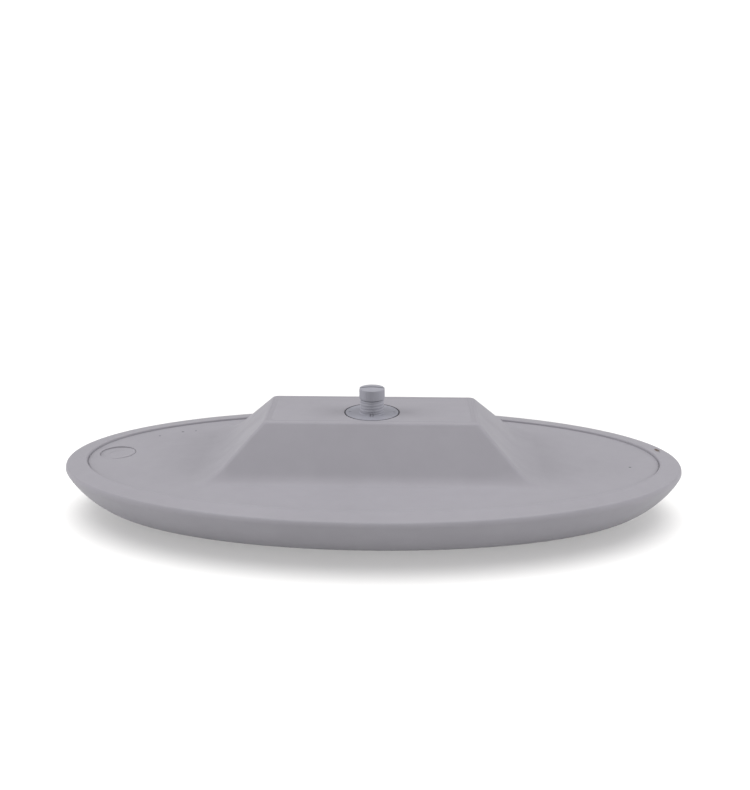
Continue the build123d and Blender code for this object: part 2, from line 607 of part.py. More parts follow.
# --- Write every node ----------------------------------------------------------------
def build():
    """Make each piece and write it under its node's name."""
    board_top = DECK + STANDOFF + BOARD_THICK
    plug_low = PLUG_BOSS_Z - 0.6
    flange_top = SPINDLE_BOTTOM + SPINDLE_FLANGE_THICK
    nodes = {
        "dome_radome": dome_radome(),
        "rim_seal": rim_seal(),
        "mounting_cover": mounting_cover(),
        "mounting_disc": mounting_disc(),
        "disc_seal": ring(DISC_FLANGE_R - 0.5, DISC_R + 1, FLANGE_TOP, FLANGE_TOP + SEAL_THICK),
        "mounting_stud": mounting_stud(),
        "stud_washer": ring(WASHER_R, STUD_LOWER_R + 0.3, FLANGE_LOW - WASHER_THICK, FLANGE_LOW),
        "stud_nut": stud_nut(),
        "stud_cap": stud_cap(),
        "stud_cap_seal": ring(STUD_R - 0.7, CAP_SHANK_R + 0.1, STUD_TOP + 0.02, CAP_LOW),
        "vent_plug": vent_plug(),
        "vent_plug_seal": ring(PLUG_HEAD_R - 4, PLUG_SHANK_R + 0.1, PANEL_Z - PLUG_RECESS + 0.02,
                               PANEL_Z - PLUG_RECESS + 0.5, *PLUG_AT),
        "breather_membrane": cylinder(PLUG_BOSS_R - 1, plug_low, PLUG_BOSS_Z, *PLUG_AT),
        "chassis_plate": chassis_plate(),
        "chassis_screws": screws(corners(BOSS_X, BOSS_Y), CHASSIS_Z, -2.4, DECK + 12),
        "bearing_housing": bearing_housing(),
        "housing_screws": screws(HOUSING_SCREWS, DECK + HOUSING_FLANGE_THICK, 2.4, CHASSIS_Z),
        "lower_bearing": bearing(LOWER_BEARING_Z),
        "upper_bearing": bearing(UPPER_BEARING_Z),
        "spindle": spindle(),
        "spindle_circlip": spindle_circlip(),
        "rotary_joint": rotary_joint(),
        "scanner_gear": scanner_gear(),
        "gear_screws": screws(GEAR_SCREWS, GEAR_Z + GEAR_THICK - 1.8, 1.6, SPINDLE_BOTTOM, 2.3, SMALL_SCREW_R),
        "index_magnet": cylinder(3, GEAR_Z + GEAR_THICK, GEAR_Z + GEAR_THICK + 2, 0, MAGNET_AT_R),
        "index_sensor": block((-5, 5), (MAGNET_AT_R - 3, MAGNET_AT_R + 3), (CHASSIS_Z - 3.6, CHASSIS_Z)),
        "motor": motor(),
        "motor_screws": screws(MOTOR_SCREWS, DECK + 3, 2.4, CHASSIS_Z),
        "motor_shaft": cylinder(MOTOR_SHAFT_R, GEAR_Z - 1, DECK + 19.5, MOTOR_X),
        "motor_pinion": motor_pinion(),
        "array_carrier": array_carrier(),
        "carrier_screws": screws(CARRIER_SCREWS, ARRAY_TOP, -1.8, flange_top, 2.3, SMALL_SCREW_R),
        "array_board": array_board(),
        "array_patches": array_patches(),
        "array_screws": array_screws(),
        "array_absorber": array_absorber(),
        "transceiver_board": transceiver_board(),
        "transceiver_shield": transceiver_shield(),
        "control_board": control_board(),
        "power_board": power_board(),
        "board_standoffs": [standoff(x, y) for x, y in LOGIC_CORNERS],
        "board_screws": screws(LOGIC_CORNERS, board_top, 1.8, DECK + 1, 2.3, SMALL_SCREW_R),
        "desiccant_pack": desiccant_pack(),
    }
    for node, shape in nodes.items():
        save(shape, node)


os.makedirs("parts", exist_ok=True)
build()
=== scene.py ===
"""Looks of the oval radar dome antenna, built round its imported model.

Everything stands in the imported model's frame: +X along the oval, +Z up the mounting stud, z = 0 on the
surface that the dome rests on. Sizes are millimetres here and become metres when a mesh is made.
"""

import json
import logging
import math
from collections.abc import Callable
from dataclasses import dataclass, field
from enum import Enum

import bpy
import numpy as np
from mathutils import Matrix, Vector

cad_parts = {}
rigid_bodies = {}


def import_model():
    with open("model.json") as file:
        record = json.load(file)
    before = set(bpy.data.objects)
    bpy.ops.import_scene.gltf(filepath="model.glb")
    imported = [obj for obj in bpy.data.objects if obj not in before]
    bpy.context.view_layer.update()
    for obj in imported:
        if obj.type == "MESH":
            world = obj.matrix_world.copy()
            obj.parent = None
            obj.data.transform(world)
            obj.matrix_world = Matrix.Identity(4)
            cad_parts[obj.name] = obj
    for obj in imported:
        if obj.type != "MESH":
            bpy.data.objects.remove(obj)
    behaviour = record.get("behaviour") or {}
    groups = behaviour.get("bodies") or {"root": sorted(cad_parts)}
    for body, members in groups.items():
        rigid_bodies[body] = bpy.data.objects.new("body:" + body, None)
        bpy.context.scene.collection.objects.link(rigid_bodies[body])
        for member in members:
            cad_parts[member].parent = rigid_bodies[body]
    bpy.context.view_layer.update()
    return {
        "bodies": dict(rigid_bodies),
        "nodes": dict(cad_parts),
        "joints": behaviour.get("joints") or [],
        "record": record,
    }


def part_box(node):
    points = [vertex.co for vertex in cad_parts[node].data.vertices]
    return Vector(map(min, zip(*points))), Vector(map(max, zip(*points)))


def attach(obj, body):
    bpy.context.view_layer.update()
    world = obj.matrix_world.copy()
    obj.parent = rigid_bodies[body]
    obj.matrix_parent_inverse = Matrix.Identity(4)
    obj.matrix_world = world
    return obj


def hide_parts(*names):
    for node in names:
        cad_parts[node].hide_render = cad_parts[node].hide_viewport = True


Array = np.ndarray
Piece, Material, Socket = bpy.types.Object, bpy.types.Material, bpy.types.NodeSocket
MM = 0.001
ON_AXIS = 1e-4
log = logging.getLogger("radar_antenna")


class Ends(Enum):
    """How the first and last rings of a skin are closed."""

    POLES = "poles"
    LOOP = "loop"


class Lay(Enum):
    """Which way the fine tool marks of a metal run."""

    BRUSHED = "brushed"
    TURNED = "turned"
    CAST = "cast"


# Shapes

def put_mesh(name: str, points: Array, faces: list, sharp: float = 35.0) -> Piece:
    """Makes an object from points and faces, with its faces outward.

    The signed volume is the sum of p0 . (p1 x p2) over each face's fan of triangles. Where it is
    negative the shell is inside out, and every face is reversed.

    Args:
        name: the object's name.
        points: (n, 3) places in millimetres.
        faces: index lists of three or four points.
        sharp: edges whose faces meet at more than this angle in degrees stay crisp.

    Returns:
        The new object, linked to the scene.
    """
    tris = np.array([f[:3] for f in faces] + [(f[0], f[2], f[3]) for f in faces if len(f) == 4])
    a, b, c = (points[tris[:, i]] for i in range(3))
    if np.einsum("ij,ij->i", a, np.cross(b, c)).sum() < 0:
        faces = [f[::-1] for f in faces]
    mesh = bpy.data.meshes.new(name)
    mesh.from_pydata((points * MM).tolist(), [], faces)
    mesh.validate()
    smooth(mesh, sharp)
    obj = bpy.data.objects.new(name, mesh)
    bpy.context.scene.collection.objects.link(obj)
    return obj


def smooth(mesh: bpy.types.Mesh, sharp: float) -> None:
    """Shades a mesh smooth and keeps the edges crisp that turn by more than sharp degrees."""
    mesh.polygons.foreach_set("use_smooth", np.ones(len(mesh.polygons), bool))
    mesh.set_sharp_from_angle(angle=math.radians(sharp))
    mesh.update()


def skin(name: str, rings: Array, ends: Ends, sharp: float = 35.0) -> Piece:
    """Joins rings of points into one closed shell.

    Ring i and ring i + 1 are joined by quads that wrap round. With Ends.LOOP the last ring joins the
    first, as in a torus; with Ends.POLES a fan from the middle of the first and of the last ring closes it.

    Args:
        name: the object's name.
        rings: (rows, columns, 3) places in millimetres.
        ends: how the shell is closed.
        sharp: crease angle in degrees.

    Returns:
        The new object.
    """
    rows, columns = rings.shape[:2]
    index = np.arange(rows * columns).reshape(rows, columns)
    lower = index if ends is Ends.LOOP else index[:-1]
    upper = np.roll(index, -1, axis=0) if ends is Ends.LOOP else index[1:]
    quads = np.stack([lower, np.roll(lower, -1, axis=1), np.roll(upper, -1, axis=1), upper], axis=-1)
    faces = quads.reshape(-1, 4).tolist()
    points = rings.reshape(-1, 3)
    if ends is Ends.POLES:
        for row, turn in ((0, -1), (rows - 1, 1)):
            pole = np.full(columns, len(points))
            points = np.vstack([points, rings[row].mean(axis=0)])
            fan = np.stack([index[row], np.roll(index[row], -1), pole], axis=-1)
            faces += fan[:, ::turn].tolist()
    return put_mesh(name, points, faces, sharp)


def rounded(corners: list, steps: int = 5) -> Array:
    """A section line whose corners are rounded.

    Each corner is (across, up, radius). Between the points one radius before and after it the line is
    the quadratic Bezier (1-s)^2 p + 2s(1-s) corner + s^2 q, with the radius cut to 45% of the shorter side.

    Args:
        corners: the corners in order, closed from the last to the first.
        steps: points on each rounding.

    Returns:
        (n, 2) points of the closed line.
    """
    spots = np.array([c[:2] for c in corners], float)
    before, after = np.roll(spots, 1, axis=0) - spots, np.roll(spots, -1, axis=0) - spots
    reach = np.array([c[2] for c in corners])
    long_b, long_a = np.linalg.norm(before, axis=1), np.linalg.norm(after, axis=1)
    reach = np.minimum(reach, 0.45 * np.minimum(long_b, long_a))[:, None]
    p, q = spots + before / long_b[:, None] * reach, spots + after / long_a[:, None] * reach
    s = np.linspace(0, 1, steps)[None, :, None]
    line = (1 - s) ** 2 * p[:, None] + 2 * s * (1 - s) * spots[:, None] + s ** 2 * q[:, None]
    return line.reshape(-1, 2)


def hoops(a: Array, b: Array, level: Array, columns: int, at: tuple = (0.0, 0.0)) -> Array:
    """Level rings of points (x + a cos t, y + b sin t, level), with t even round the turn.

    Args:
        a: half sizes along X, one row for each ring.
        b: half sizes along Y.
        level: (rows, 1) heights.
        columns: points on each ring.
        at: x and y of the middle.

    Returns:
        (rows, columns, 3) places.
    """
    turn = np.linspace(0, 2 * np.pi, columns, endpoint=False)
    x, y = at[0] + a * np.cos(turn), at[1] + b * np.sin(turn)
    return np.stack([x, y, np.broadcast_to(level, x.shape)], axis=-1)


def turned(name: str, corners: list, at: tuple = (0.0, 0.0), columns: int = 96, steps: int = 5,
           ends: Ends = Ends.LOOP) -> Piece:
    """A turned piece: the rounded section (radius, height) carried once round the axis at a place.

    Args:
        name: the object's name.
        corners: (radius, height, rounding) of a ring's closed section, or of the line from pole to pole.
        at: x and y of the axis.
        columns: points round the piece.
        steps: points on each rounding.
        ends: Ends.LOOP for a ring, or Ends.POLES for a solid with no hole.

    Returns:
        The new object.
    """
    if ends is Ends.POLES:
        corners = [(0.0, corners[0][1], 0.0), *corners, (0.0, corners[-1][1], 0.0)]
    line = rounded(corners, steps)
    if ends is Ends.POLES:
        line = line[line[:, 0] > ON_AXIS]
    return skin(name, hoops(line[:, :1], line[:, :1], line[:, 1:], columns, at), ends)


def flat_ring(name: str, radii: tuple, levels: tuple, rounds: tuple, at: tuple = (0.0, 0.0),
              columns: int = 96) -> Piece:
    """A turned ring of rectangular section.

    Args:
        name: the object's name.
        radii: inner and outer radius.
        levels: bottom and top.
        rounds: rounding of the inner bottom, outer bottom, outer top and inner top corner.
        at: x and y of the axis.
        columns: points round the ring.

    Returns:
        The new object.
    """
    (inner, outer), (low, high) = radii, levels
    corners = ((inner, low), (outer, low), (outer, high), (inner, high))
    return turned(name, [(*corner, bend) for corner, bend in zip(corners, rounds)], at, columns)


def block(name: str, low: tuple, high: tuple, edge: float = 0.4, steps: int = 3) -> Piece:
    """A box whose edges and corners are rounded: rings of a rounded rectangle that shrink at top and bottom.

    Args:
        name: the object's name.
        low: lowest corner.
        high: highest corner.
        edge: radius of the edges.
        steps: points on each rounding.

    Returns:
        The new object.
    """
    (x0, y0, z0), (x1, y1, z1) = low, high
    line = rounded([(x1, y1, edge), (x0, y1, edge), (x0, y0, edge), (x1, y0, edge)], steps + 2)
    middle = np.array([(x0 + x1) / 2, (y0 + y1) / 2])
    turn = np.linspace(0, np.pi / 2, steps)
    inset = np.concatenate([edge * (1 - np.sin(turn)), edge * (1 - np.cos(turn))])
    level = np.concatenate([z0 + edge * (1 - np.cos(turn)), z1 - edge * (1 - np.sin(turn))])
    half = np.array([(x1 - x0) / 2, (y1 - y0) / 2])
    shrink = 1 - inset[:, None, None] / half
    flat = middle + (line[None] - middle) * shrink
    rings = np.concatenate([flat, np.repeat(level[:, None, None], len(line), axis=1)], axis=-1)
    return skin(name, rings, Ends.POLES)


def joined(name: str, pieces: list) -> Piece:
    """One object from several, keeping each one's faces and crisp edges.

    Args:
        name: the new object's name.
        pieces: objects whose meshes are put together. They are removed.

    Returns:
        The new object.
    """
    with bpy.context.temp_override(active_object=pieces[0], selected_editable_objects=pieces):
        bpy.ops.object.join()
    pieces[0].name = pieces[0].data.name = name
    return pieces[0]


def carve(obj: Piece, cutters: list, sharp: float = 35.0) -> Piece:
    """Cuts the cutters out of an object with an exact Boolean, applies it and removes the cutters."""
    for cutter in cutters:
        cut = obj.modifiers.new("cut", "BOOLEAN")
        cut.operation, cut.solver, cut.object = "DIFFERENCE", "EXACT", cutter
    graph = bpy.context.evaluated_depsgraph_get()
    mesh = bpy.data.meshes.new_from_object(obj.evaluated_get(graph))
    obj.modifiers.clear()
    obj.data = mesh
    mesh.name = obj.name
    for cutter in cutters:
        bpy.data.objects.remove(cutter)
    smooth(mesh, sharp)
    return obj


def places(obj: Piece) -> Array:
    """The (n, 3) places of an object's points, in metres."""
    spots = np.zeros(len(obj.data.vertices) * 3)
    obj.data.vertices.foreach_get("co", spots)
    return spots.reshape(-1, 3)


def levels(node: str, play: float = 0.0) -> tuple:
    """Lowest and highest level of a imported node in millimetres, with some play taken off at each."""
    low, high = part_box(node)
    return low[2] / MM + play, high[2] / MM - play


def soft_min(a: Array, b: Array, k: float) -> Array:
    """The smaller of two heights, rounded where they cross: min(a, b) - max(k - |a - b|, 0)^2 / 4k."""
    return np.minimum(a, b) - np.maximum(k - np.abs(a - b), 0) ** 2 / (4 * k)


def soft_max(a: Array, b: Array, k: float) -> Array:
    """The larger of two heights, rounded where they cross."""
    return -soft_min(-a, -b, k)


def ease(low: float, high: float, value: Array) -> Array:
    """Rises from 0 at low to 1 at high as 3s^2 - 2s^3."""
    s = np.clip((value - low) / (high - low), 0, 1)
    return s * s * (3 - 2 * s)


# Finishes

class Graph:
    """A small helper that lays out one material's nodes on Object coordinates."""

    def __init__(self, name: str) -> None:
        """Starts a material with one Principled shader."""
        self.material = bpy.data.materials.new(name)
        self.material.use_nodes = True
        self.nodes, self.links = self.material.node_tree.nodes, self.material.node_tree.links
        self.shader = next(n for n in self.nodes if n.type == "BSDF_PRINCIPLED")
        self.coords = self.nodes.new("ShaderNodeTexCoord").outputs["Object"]

    def plug(self, socket: Socket, value: object) -> None:
        """Links a socket to another, or sets its constant."""
        if isinstance(value, Socket):
            self.links.new(value, socket)
        else:
            socket.default_value = value

    def placed(self, at: tuple = (0, 0, 0), scale: tuple = (1, 1, 1), turn: tuple = (0, 0, 0)) -> Socket:
        """Object coordinates measured from a place in millimetres, scaled and turned.

        Args:
            at: the place that becomes the origin.
            scale: factor on each axis.
            turn: angles in degrees.

        Returns:
            The vector socket.
        """
        shift = self.nodes.new("ShaderNodeVectorMath")
        shift.operation = "SUBTRACT"
        self.plug(shift.inputs[0], self.coords)
        shift.inputs[1].default_value = [v * MM for v in at]
        place = self.nodes.new("ShaderNodeMapping")
        self.plug(place.inputs["Vector"], shift.outputs[0])
        place.inputs["Scale"].default_value = scale
        place.inputs["Rotation"].default_value = [math.radians(v) for v in turn]
        return place.outputs["Vector"]

    def noise(self, size: float, detail: float = 3, rough: float = 0.5, where: object = None) -> Socket:
        """Noise whose features are about size millimetres across."""
        node = self.nodes.new("ShaderNodeTexNoise")
        self.plug(node.inputs["Vector"], where or self.coords)
        node.inputs["Scale"].default_value = 1 / (size * MM)
        node.inputs["Detail"].default_value = detail
        node.inputs["Roughness"].default_value = rough
        return node.outputs["Fac"]

    def cells(self, size: float, where: object = None, edge: bool = False) -> Socket:
        """Cells about size millimetres across: distance from each middle, or to the nearest wall."""
        node = self.nodes.new("ShaderNodeTexVoronoi")
        node.feature = "DISTANCE_TO_EDGE" if edge else "F1"
        self.plug(node.inputs["Vector"], where or self.coords)
        node.inputs["Scale"].default_value = 1 / (size * MM)
        return node.outputs["Distance"]

    def bands(self, size: float, axis: str, where: object = None, rings: bool = False) -> Socket:
        """Even waves about size millimetres long, along an axis or as rings round it."""
        node = self.nodes.new("ShaderNodeTexWave")
        node.wave_type = "RINGS" if rings else "BANDS"
        setattr(node, "rings_direction" if rings else "bands_direction", axis)
        self.plug(node.inputs["Vector"], where or self.coords)
        node.inputs["Scale"].default_value = math.pi / (10 * size * MM)
        return node.outputs["Fac"]

    def level(self, value: object, low: float, high: float, to_low: float, to_high: float) -> Socket:
        """Maps low..high onto to_low..to_high, and holds the ends."""
        node = self.nodes.new("ShaderNodeMapRange")
        self.plug(node.inputs["Value"], value)
        for key, number in (("From Min", low), ("From Max", high), ("To Min", to_low), ("To Max", to_high)):
            node.inputs[key].default_value = number
        return node.outputs["Result"]

    def sums(self, operation: str, a: object, b: object) -> Socket:
        """One arithmetic step on two values."""
        node = self.nodes.new("ShaderNodeMath")
        node.operation = operation
        self.plug(node.inputs[0], a)
        self.plug(node.inputs[1], b)
        return node.outputs[0]

    def blend(self, share: object, a: object, b: object) -> Socket:
        """Colour a where the share is 0 and colour b where it is 1."""
        node = self.nodes.new("ShaderNodeMix")
        node.data_type = "RGBA"
        self.plug(node.inputs["Factor"], share)
        for key, value in (("A", a), ("B", b)):
            socket = next(s for s in node.inputs if s.name == key and s.type == "RGBA")
            self.plug(socket, (*value, 1.0) if isinstance(value, tuple) else value)
        return next(s for s in node.outputs if s.type == "RGBA")

    def near(self, at: tuple, reach: float, ragged: float = 0.0, flat: tuple = (1, 1, 1)) -> Socket:
        """1 within reach millimetres of a place and 0 outside it, with a ragged border.

        Args:
            at: the place.
            reach: distance of the border.
            ragged: how far noise moves the border, as a share of reach.
            flat: factors that squeeze the distance along each axis.

        Returns:
            The mask.
        """
        size = self.nodes.new("ShaderNodeVectorMath")
        size.operation = "LENGTH"
        self.plug(size.inputs[0], self.placed(at, flat))
        away = size.outputs["Value"]
        if ragged:
            wander = self.level(self.noise(reach * 0.8, 4), 0, 1, 1 - ragged, 1 + ragged)
            away = self.sums("MULTIPLY", away, wander)
        return self.level(away, reach * 0.75 * MM, reach * MM, 1, 0)

    def attribute(self, name: str) -> Socket:
        """A value stored on the mesh's points."""
        node = self.nodes.new("ShaderNodeAttribute")
        node.attribute_name = name
        return node.outputs["Fac"]

    def finish(self, colour: object, roughness: object, relief: list, **constants: float) -> Material:
        """Sets the shader's colour, roughness, bumps and constants.

        Args:
            colour: socket of the surface's colour.
            roughness: socket or constant.
            relief: (value socket, depth in millimetres, strength) for each bump, added one after another.
            constants: values of the shader's own sockets, with an underscore for a space.

        Returns:
            The finished material.
        """
        self.plug(self.shader.inputs["Base Color"], colour)
        self.plug(self.shader.inputs["Roughness"], roughness)
        normal = None
        for value, depth, strength in relief:
            node = self.nodes.new("ShaderNodeBump")
            node.inputs["Strength"].default_value = strength
            node.inputs["Distance"].default_value = depth * MM
            self.plug(node.inputs["Height"], value)
            if normal:
                self.plug(node.inputs["Normal"], normal)
            normal = node.outputs["Normal"]
        if normal:
            self.plug(self.shader.inputs["Normal"], normal)
        for key, value in constants.items():
            self.shader.inputs[key.replace("_", " ")].default_value = value
        return self.material


def tint(colour: tuple, factor: float) -> tuple:
    """A colour made lighter or darker by a factor."""
    return tuple(min(1.0, c * factor) for c in colour)


@dataclass(frozen=True)
class Mark:
    """A small flaw at a named place on a painted shell."""

    at: tuple
    reach: float
    colour: tuple
    flat: tuple = (1, 1, 1)
    ragged: float = 0.35


@dataclass(frozen=True)
class SprayedPaint:
    """Satin two-coat paint on a moulded shell: slow mottling, orange peel, dust nibs and faint scuffs, with
    painted shade on a sunken border where border is set.
    """

    colour: tuple
    roughness: float = 0.42
    mottling: float = 0.035
    peel: float = 0.05
    marks: tuple = ()
    # With border set, the points of the border attribute are painted 5% darker as painted shade.
    border: bool = False

    def material(self, name: str) -> Material:
        """Builds the paint."""
        g = Graph(name)
        cloud = g.sums("ADD", g.noise(90, 3), g.sums("MULTIPLY", g.noise(14, 4), 0.5))
        shade = g.blend(g.level(cloud, 0.5, 1.0, 0, 1), tint(self.colour, 1 - self.mottling),
                        tint(self.colour, 1 + self.mottling))
        nibs = g.level(g.noise(1.6, 2, 0.6), 0.74, 0.80, 0, 0.35)
        shade = g.blend(nibs, shade, tint(self.colour, 0.72))
        scratch = g.noise(2.2, 4, 0.7, g.placed(scale=(0.22, 1, 1), turn=(0, 0, 24)))
        worn = g.level(g.noise(60, 2), 0.5, 0.66, 0, 0.4)
        scuff = g.sums("MULTIPLY", g.level(scratch, 0.66, 0.74, 0, 1), worn)
        shade = g.blend(scuff, shade, tint(self.colour, 1.16))
        # Painted shade: the sunken border of the flat top is painted 5% darker, as the shade in its shallow
        # recess.
        if self.border:
            shade = g.blend(g.level(g.attribute("border"), 0, 1, 0, 1), shade, tint(self.colour, 0.95))
        for mark in self.marks:
            shade = g.blend(g.near(mark.at, mark.reach, mark.ragged, mark.flat), shade, mark.colour)
        wear = g.sums("ADD", g.level(g.noise(30, 4), 0.3, 0.7, self.roughness - 0.05, self.roughness + 0.06),
                      g.sums("MULTIPLY", scuff, 0.18))
        relief = [(g.noise(70, 2), 0.25, 0.25), (g.noise(2.4, 3, 0.55), self.peel, 0.3), (nibs, 0.06, 0.4)]
        return g.finish(shade, wear, relief, Specular_IOR_Level=0.42)


@dataclass(frozen=True)
class MouldedPlastic:
    """Moulded plastic: spark-eroded grain, slight flow marks and a duller bloom in places."""

    colour: tuple
    roughness: float = 0.5
    grain: float = 0.5

    def material(self, name: str) -> Material:
        """Builds the plastic."""
        g = Graph(name)
        flow = g.noise(18, 4, 0.6, g.placed(scale=(1, 1, 0.35)))
        shade = g.blend(g.level(flow, 0.35, 0.65, 0, 1), tint(self.colour, 0.94), tint(self.colour, 1.05))
        speck = g.level(g.noise(0.9, 2), 0.70, 0.78, 0, 0.4)
        wear = g.level(g.noise(6, 5), 0.3, 0.7, self.roughness - 0.07, self.roughness + 0.08)
        relief = [(g.cells(self.grain), 0.02, 0.35), (g.noise(self.grain * 5, 4), 0.04, 0.25)]
        return g.finish(g.blend(speck, shade, tint(self.colour, 1.25)), wear, relief, Specular_IOR_Level=0.45)


@dataclass(frozen=True)
class Rubber:
    """Matt rubber with a fine mould texture and a dusty bloom."""

    colour: tuple
    roughness: float = 0.72

    def material(self, name: str) -> Material:
        """Builds the rubber."""
        g = Graph(name)
        bloom = g.level(g.noise(5, 5, 0.6), 0.45, 0.75, 0, 0.5)
        wear = g.level(bloom, 0, 0.5, self.roughness - 0.08, self.roughness + 0.1)
        shade = g.blend(bloom, self.colour, tint(self.colour, 1.9))
        return g.finish(shade, wear, [(g.noise(0.5, 3), 0.03, 0.4)], Specular_IOR_Level=0.35)


@dataclass(frozen=True)
class Metal:
    """Bare or plated metal with the tool marks of how it was made, and slight handling stains."""

    colour: tuple
    roughness: float = 0.32
    lay: Lay = Lay.BRUSHED
    at: tuple = (0.0, 0.0, 0.0)

    def material(self, name: str) -> Material:
        """Builds the metal."""
        g = Graph(name)
        if self.lay is Lay.BRUSHED:
            marks = g.noise(0.5, 4, 0.6, g.placed(self.at, (0.04, 1, 1)))
        elif self.lay is Lay.TURNED:
            marks = g.sums("ADD", g.sums("MULTIPLY", g.bands(0.6, "Z", g.placed(self.at), rings=True), 0.5),
                           g.sums("MULTIPLY", g.noise(1.2, 3), 0.5))
        else:
            marks = g.cells(1.1)
        stain = g.level(g.noise(16, 5, 0.6), 0.5, 0.72, 0, 0.55)
        bright = g.blend(g.level(marks, 0.2, 0.8, 0, 1), tint(self.colour, 0.88), tint(self.colour, 1.06))
        wear = g.sums("ADD", g.level(marks, 0.2, 0.8, self.roughness - 0.06, self.roughness + 0.08),
                      g.sums("MULTIPLY", stain, 0.16))
        return g.finish(g.blend(stain, bright, tint(self.colour, 0.74)), wear,
                        [(marks, 0.03, 0.25), (g.noise(9, 4), 0.08, 0.2)], Metallic=1.0)


@dataclass(frozen=True)
class LacqueredBoard:
    """A circuit board: green lacquer over copper tracks, plated vias and printed ground hatching."""

    colour: tuple
    copper: tuple = (0.55, 0.36, 0.16)

    def material(self, name: str) -> Material:
        """Builds the board."""
        g = Graph(name)
        tracks = g.level(g.cells(7.0, edge=True), 0.035, 0.055, 1, 0)
        fine = g.level(g.bands(2.6, "DIAGONAL"), 0.80, 0.90, 0, 1)
        where = g.level(g.noise(34, 1), 0.50, 0.53, 0, 1)
        pattern = g.sums("MAXIMUM", tracks, g.sums("MULTIPLY", fine, where))
        vias = g.level(g.cells(5.2), 0.10, 0.13, 1, 0)
        shade = g.blend(pattern, self.colour, tint(self.colour, 1.7))
        shade = g.blend(vias, shade, self.copper)
        return g.finish(shade, g.level(g.noise(10, 4), 0.3, 0.7, 0.22, 0.38),
                        [(pattern, 0.05, 0.5), (vias, 0.05, 0.5)], Coat_Weight=0.35, Coat_Roughness=0.12)


@dataclass(frozen=True)
class OpenFoam:
    """Carbon-loaded foam: open cells whose walls are painted lighter than the pits, as painted light on the
    walls and painted shade in the pits.
    """

    colour: tuple
    cell: float = 1.6

    def material(self, name: str) -> Material:
        """Builds the foam."""
        g = Graph(name)
        walls = g.cells(self.cell, edge=True)
        # Painted light and shade: the cell walls are 2.4 times lighter than the pits, as light on the walls
        # and shade in the open cells.
        shade = g.blend(g.level(walls, 0.0, 0.12, 1, 0), self.colour, tint(self.colour, 2.4))
        return g.finish(shade, g.level(g.noise(8, 3), 0.3, 0.7, 0.85, 0.97),
                        [(g.cells(self.cell), 0.5, 0.7), (g.noise(6, 4), 0.4, 0.3)], Specular_IOR_Level=0.1)


@dataclass(frozen=True)
class WovenSheet:
    """Woven or felted sheet: two crossed thread directions with uneven yarn."""

    colour: tuple
    thread: float = 0.8

    def material(self, name: str) -> Material:
        """Builds the sheet."""
        g = Graph(name)
        weave = g.sums("MAXIMUM", g.bands(self.thread, "X"), g.bands(self.thread, "Y"))
        yarn = g.noise(self.thread * 6, 4)
        shade = g.blend(g.level(weave, 0.3, 1.0, 0, 1), tint(self.colour, 0.80), self.colour)
        shade = g.blend(g.level(yarn, 0.45, 0.7, 0, 0.5), shade, tint(self.colour, 0.88))
        return g.finish(shade, g.level(yarn, 0.3, 0.7, 0.78, 0.92), [(weave, 0.12, 0.5), (yarn, 0.2, 0.3)],
                        Sheen_Weight=0.15, Specular_IOR_Level=0.2)


PAINT = (0.268, 0.259, 0.284)
CHIP = (0.085, 0.055, 0.040)
SPECK = (0.10, 0.10, 0.11)
RIM_MARKS = (
    Mark((292.5, 28.5, 58.4), 2.3, CHIP, (0.8, 0.45, 1)),
    Mark((293.5, 26.8, 58.4), 0.42, SPECK, (1, 0.045, 1), 0.2),
)
COVER_MARKS = (
    Mark((254.6, -19.7, 58.0), 1.5, SPECK),
    Mark((-207.0, 71.8, 58.0), 1.6, SPECK),
    Mark((-193.6, 75.5, 58.0), 1.2, SPECK),
    Mark((-229.0, 58.3, 58.0), 1.3, SPECK),
    Mark((180.3, 105.5, 58.0), 1.6, SPECK),
    Mark((42.0, -61.0, 81.0), 1.1, SPECK),
    Mark((-36.0, -54.0, 90.0), 0.9, (0.42, 0.41, 0.45)),
)

FINISHES = {
    "radome_grey": SprayedPaint(PAINT, 0.46, marks=RIM_MARKS),
    # border=True paints shade 5% darker on the sunken border of the flat top.
    "cover_grey": SprayedPaint(PAINT, 0.50, marks=COVER_MARKS, border=True),
    "insert_grey": MouldedPlastic((0.228, 0.228, 0.262), 0.36),
    "stud_grey": MouldedPlastic((0.270, 0.269, 0.304), 0.46, 0.4),
    "seal_rubber": Rubber((0.022, 0.022, 0.025)),
    "bead_rubber": Rubber((0.205, 0.20, 0.22), 0.66),
    "membrane_white": WovenSheet((0.80, 0.80, 0.78), 0.5),
    "plate_aluminium": Metal((0.66, 0.67, 0.69), 0.34, Lay.BRUSHED),
    "cast_aluminium": Metal((0.55, 0.56, 0.57), 0.46, Lay.CAST),
    "screw_steel": Metal((0.58, 0.57, 0.55), 0.28, Lay.TURNED),
    "bearing_steel": Metal((0.66, 0.66, 0.68), 0.16, Lay.TURNED),
    "gear_acetal": MouldedPlastic((0.78, 0.77, 0.71), 0.38, 0.8),
    "pinion_brass": Metal((0.72, 0.53, 0.24), 0.24, Lay.TURNED),
    "magnet_nickel": Metal((0.66, 0.64, 0.60), 0.18, Lay.BRUSHED),
    "board_green": LacqueredBoard((0.016, 0.115, 0.055)),
    "patch_gold": Metal((0.86, 0.62, 0.28), 0.20, Lay.BRUSHED),
    "absorber_foam": OpenFoam((0.035, 0.035, 0.040)),
    "motor_black": MouldedPlastic((0.040, 0.040, 0.045), 0.40, 0.6),
    "shield_tin": Metal((0.62, 0.63, 0.62), 0.26, Lay.BRUSHED),
    "pack_paper": WovenSheet((0.80, 0.77, 0.69), 1.2),
}


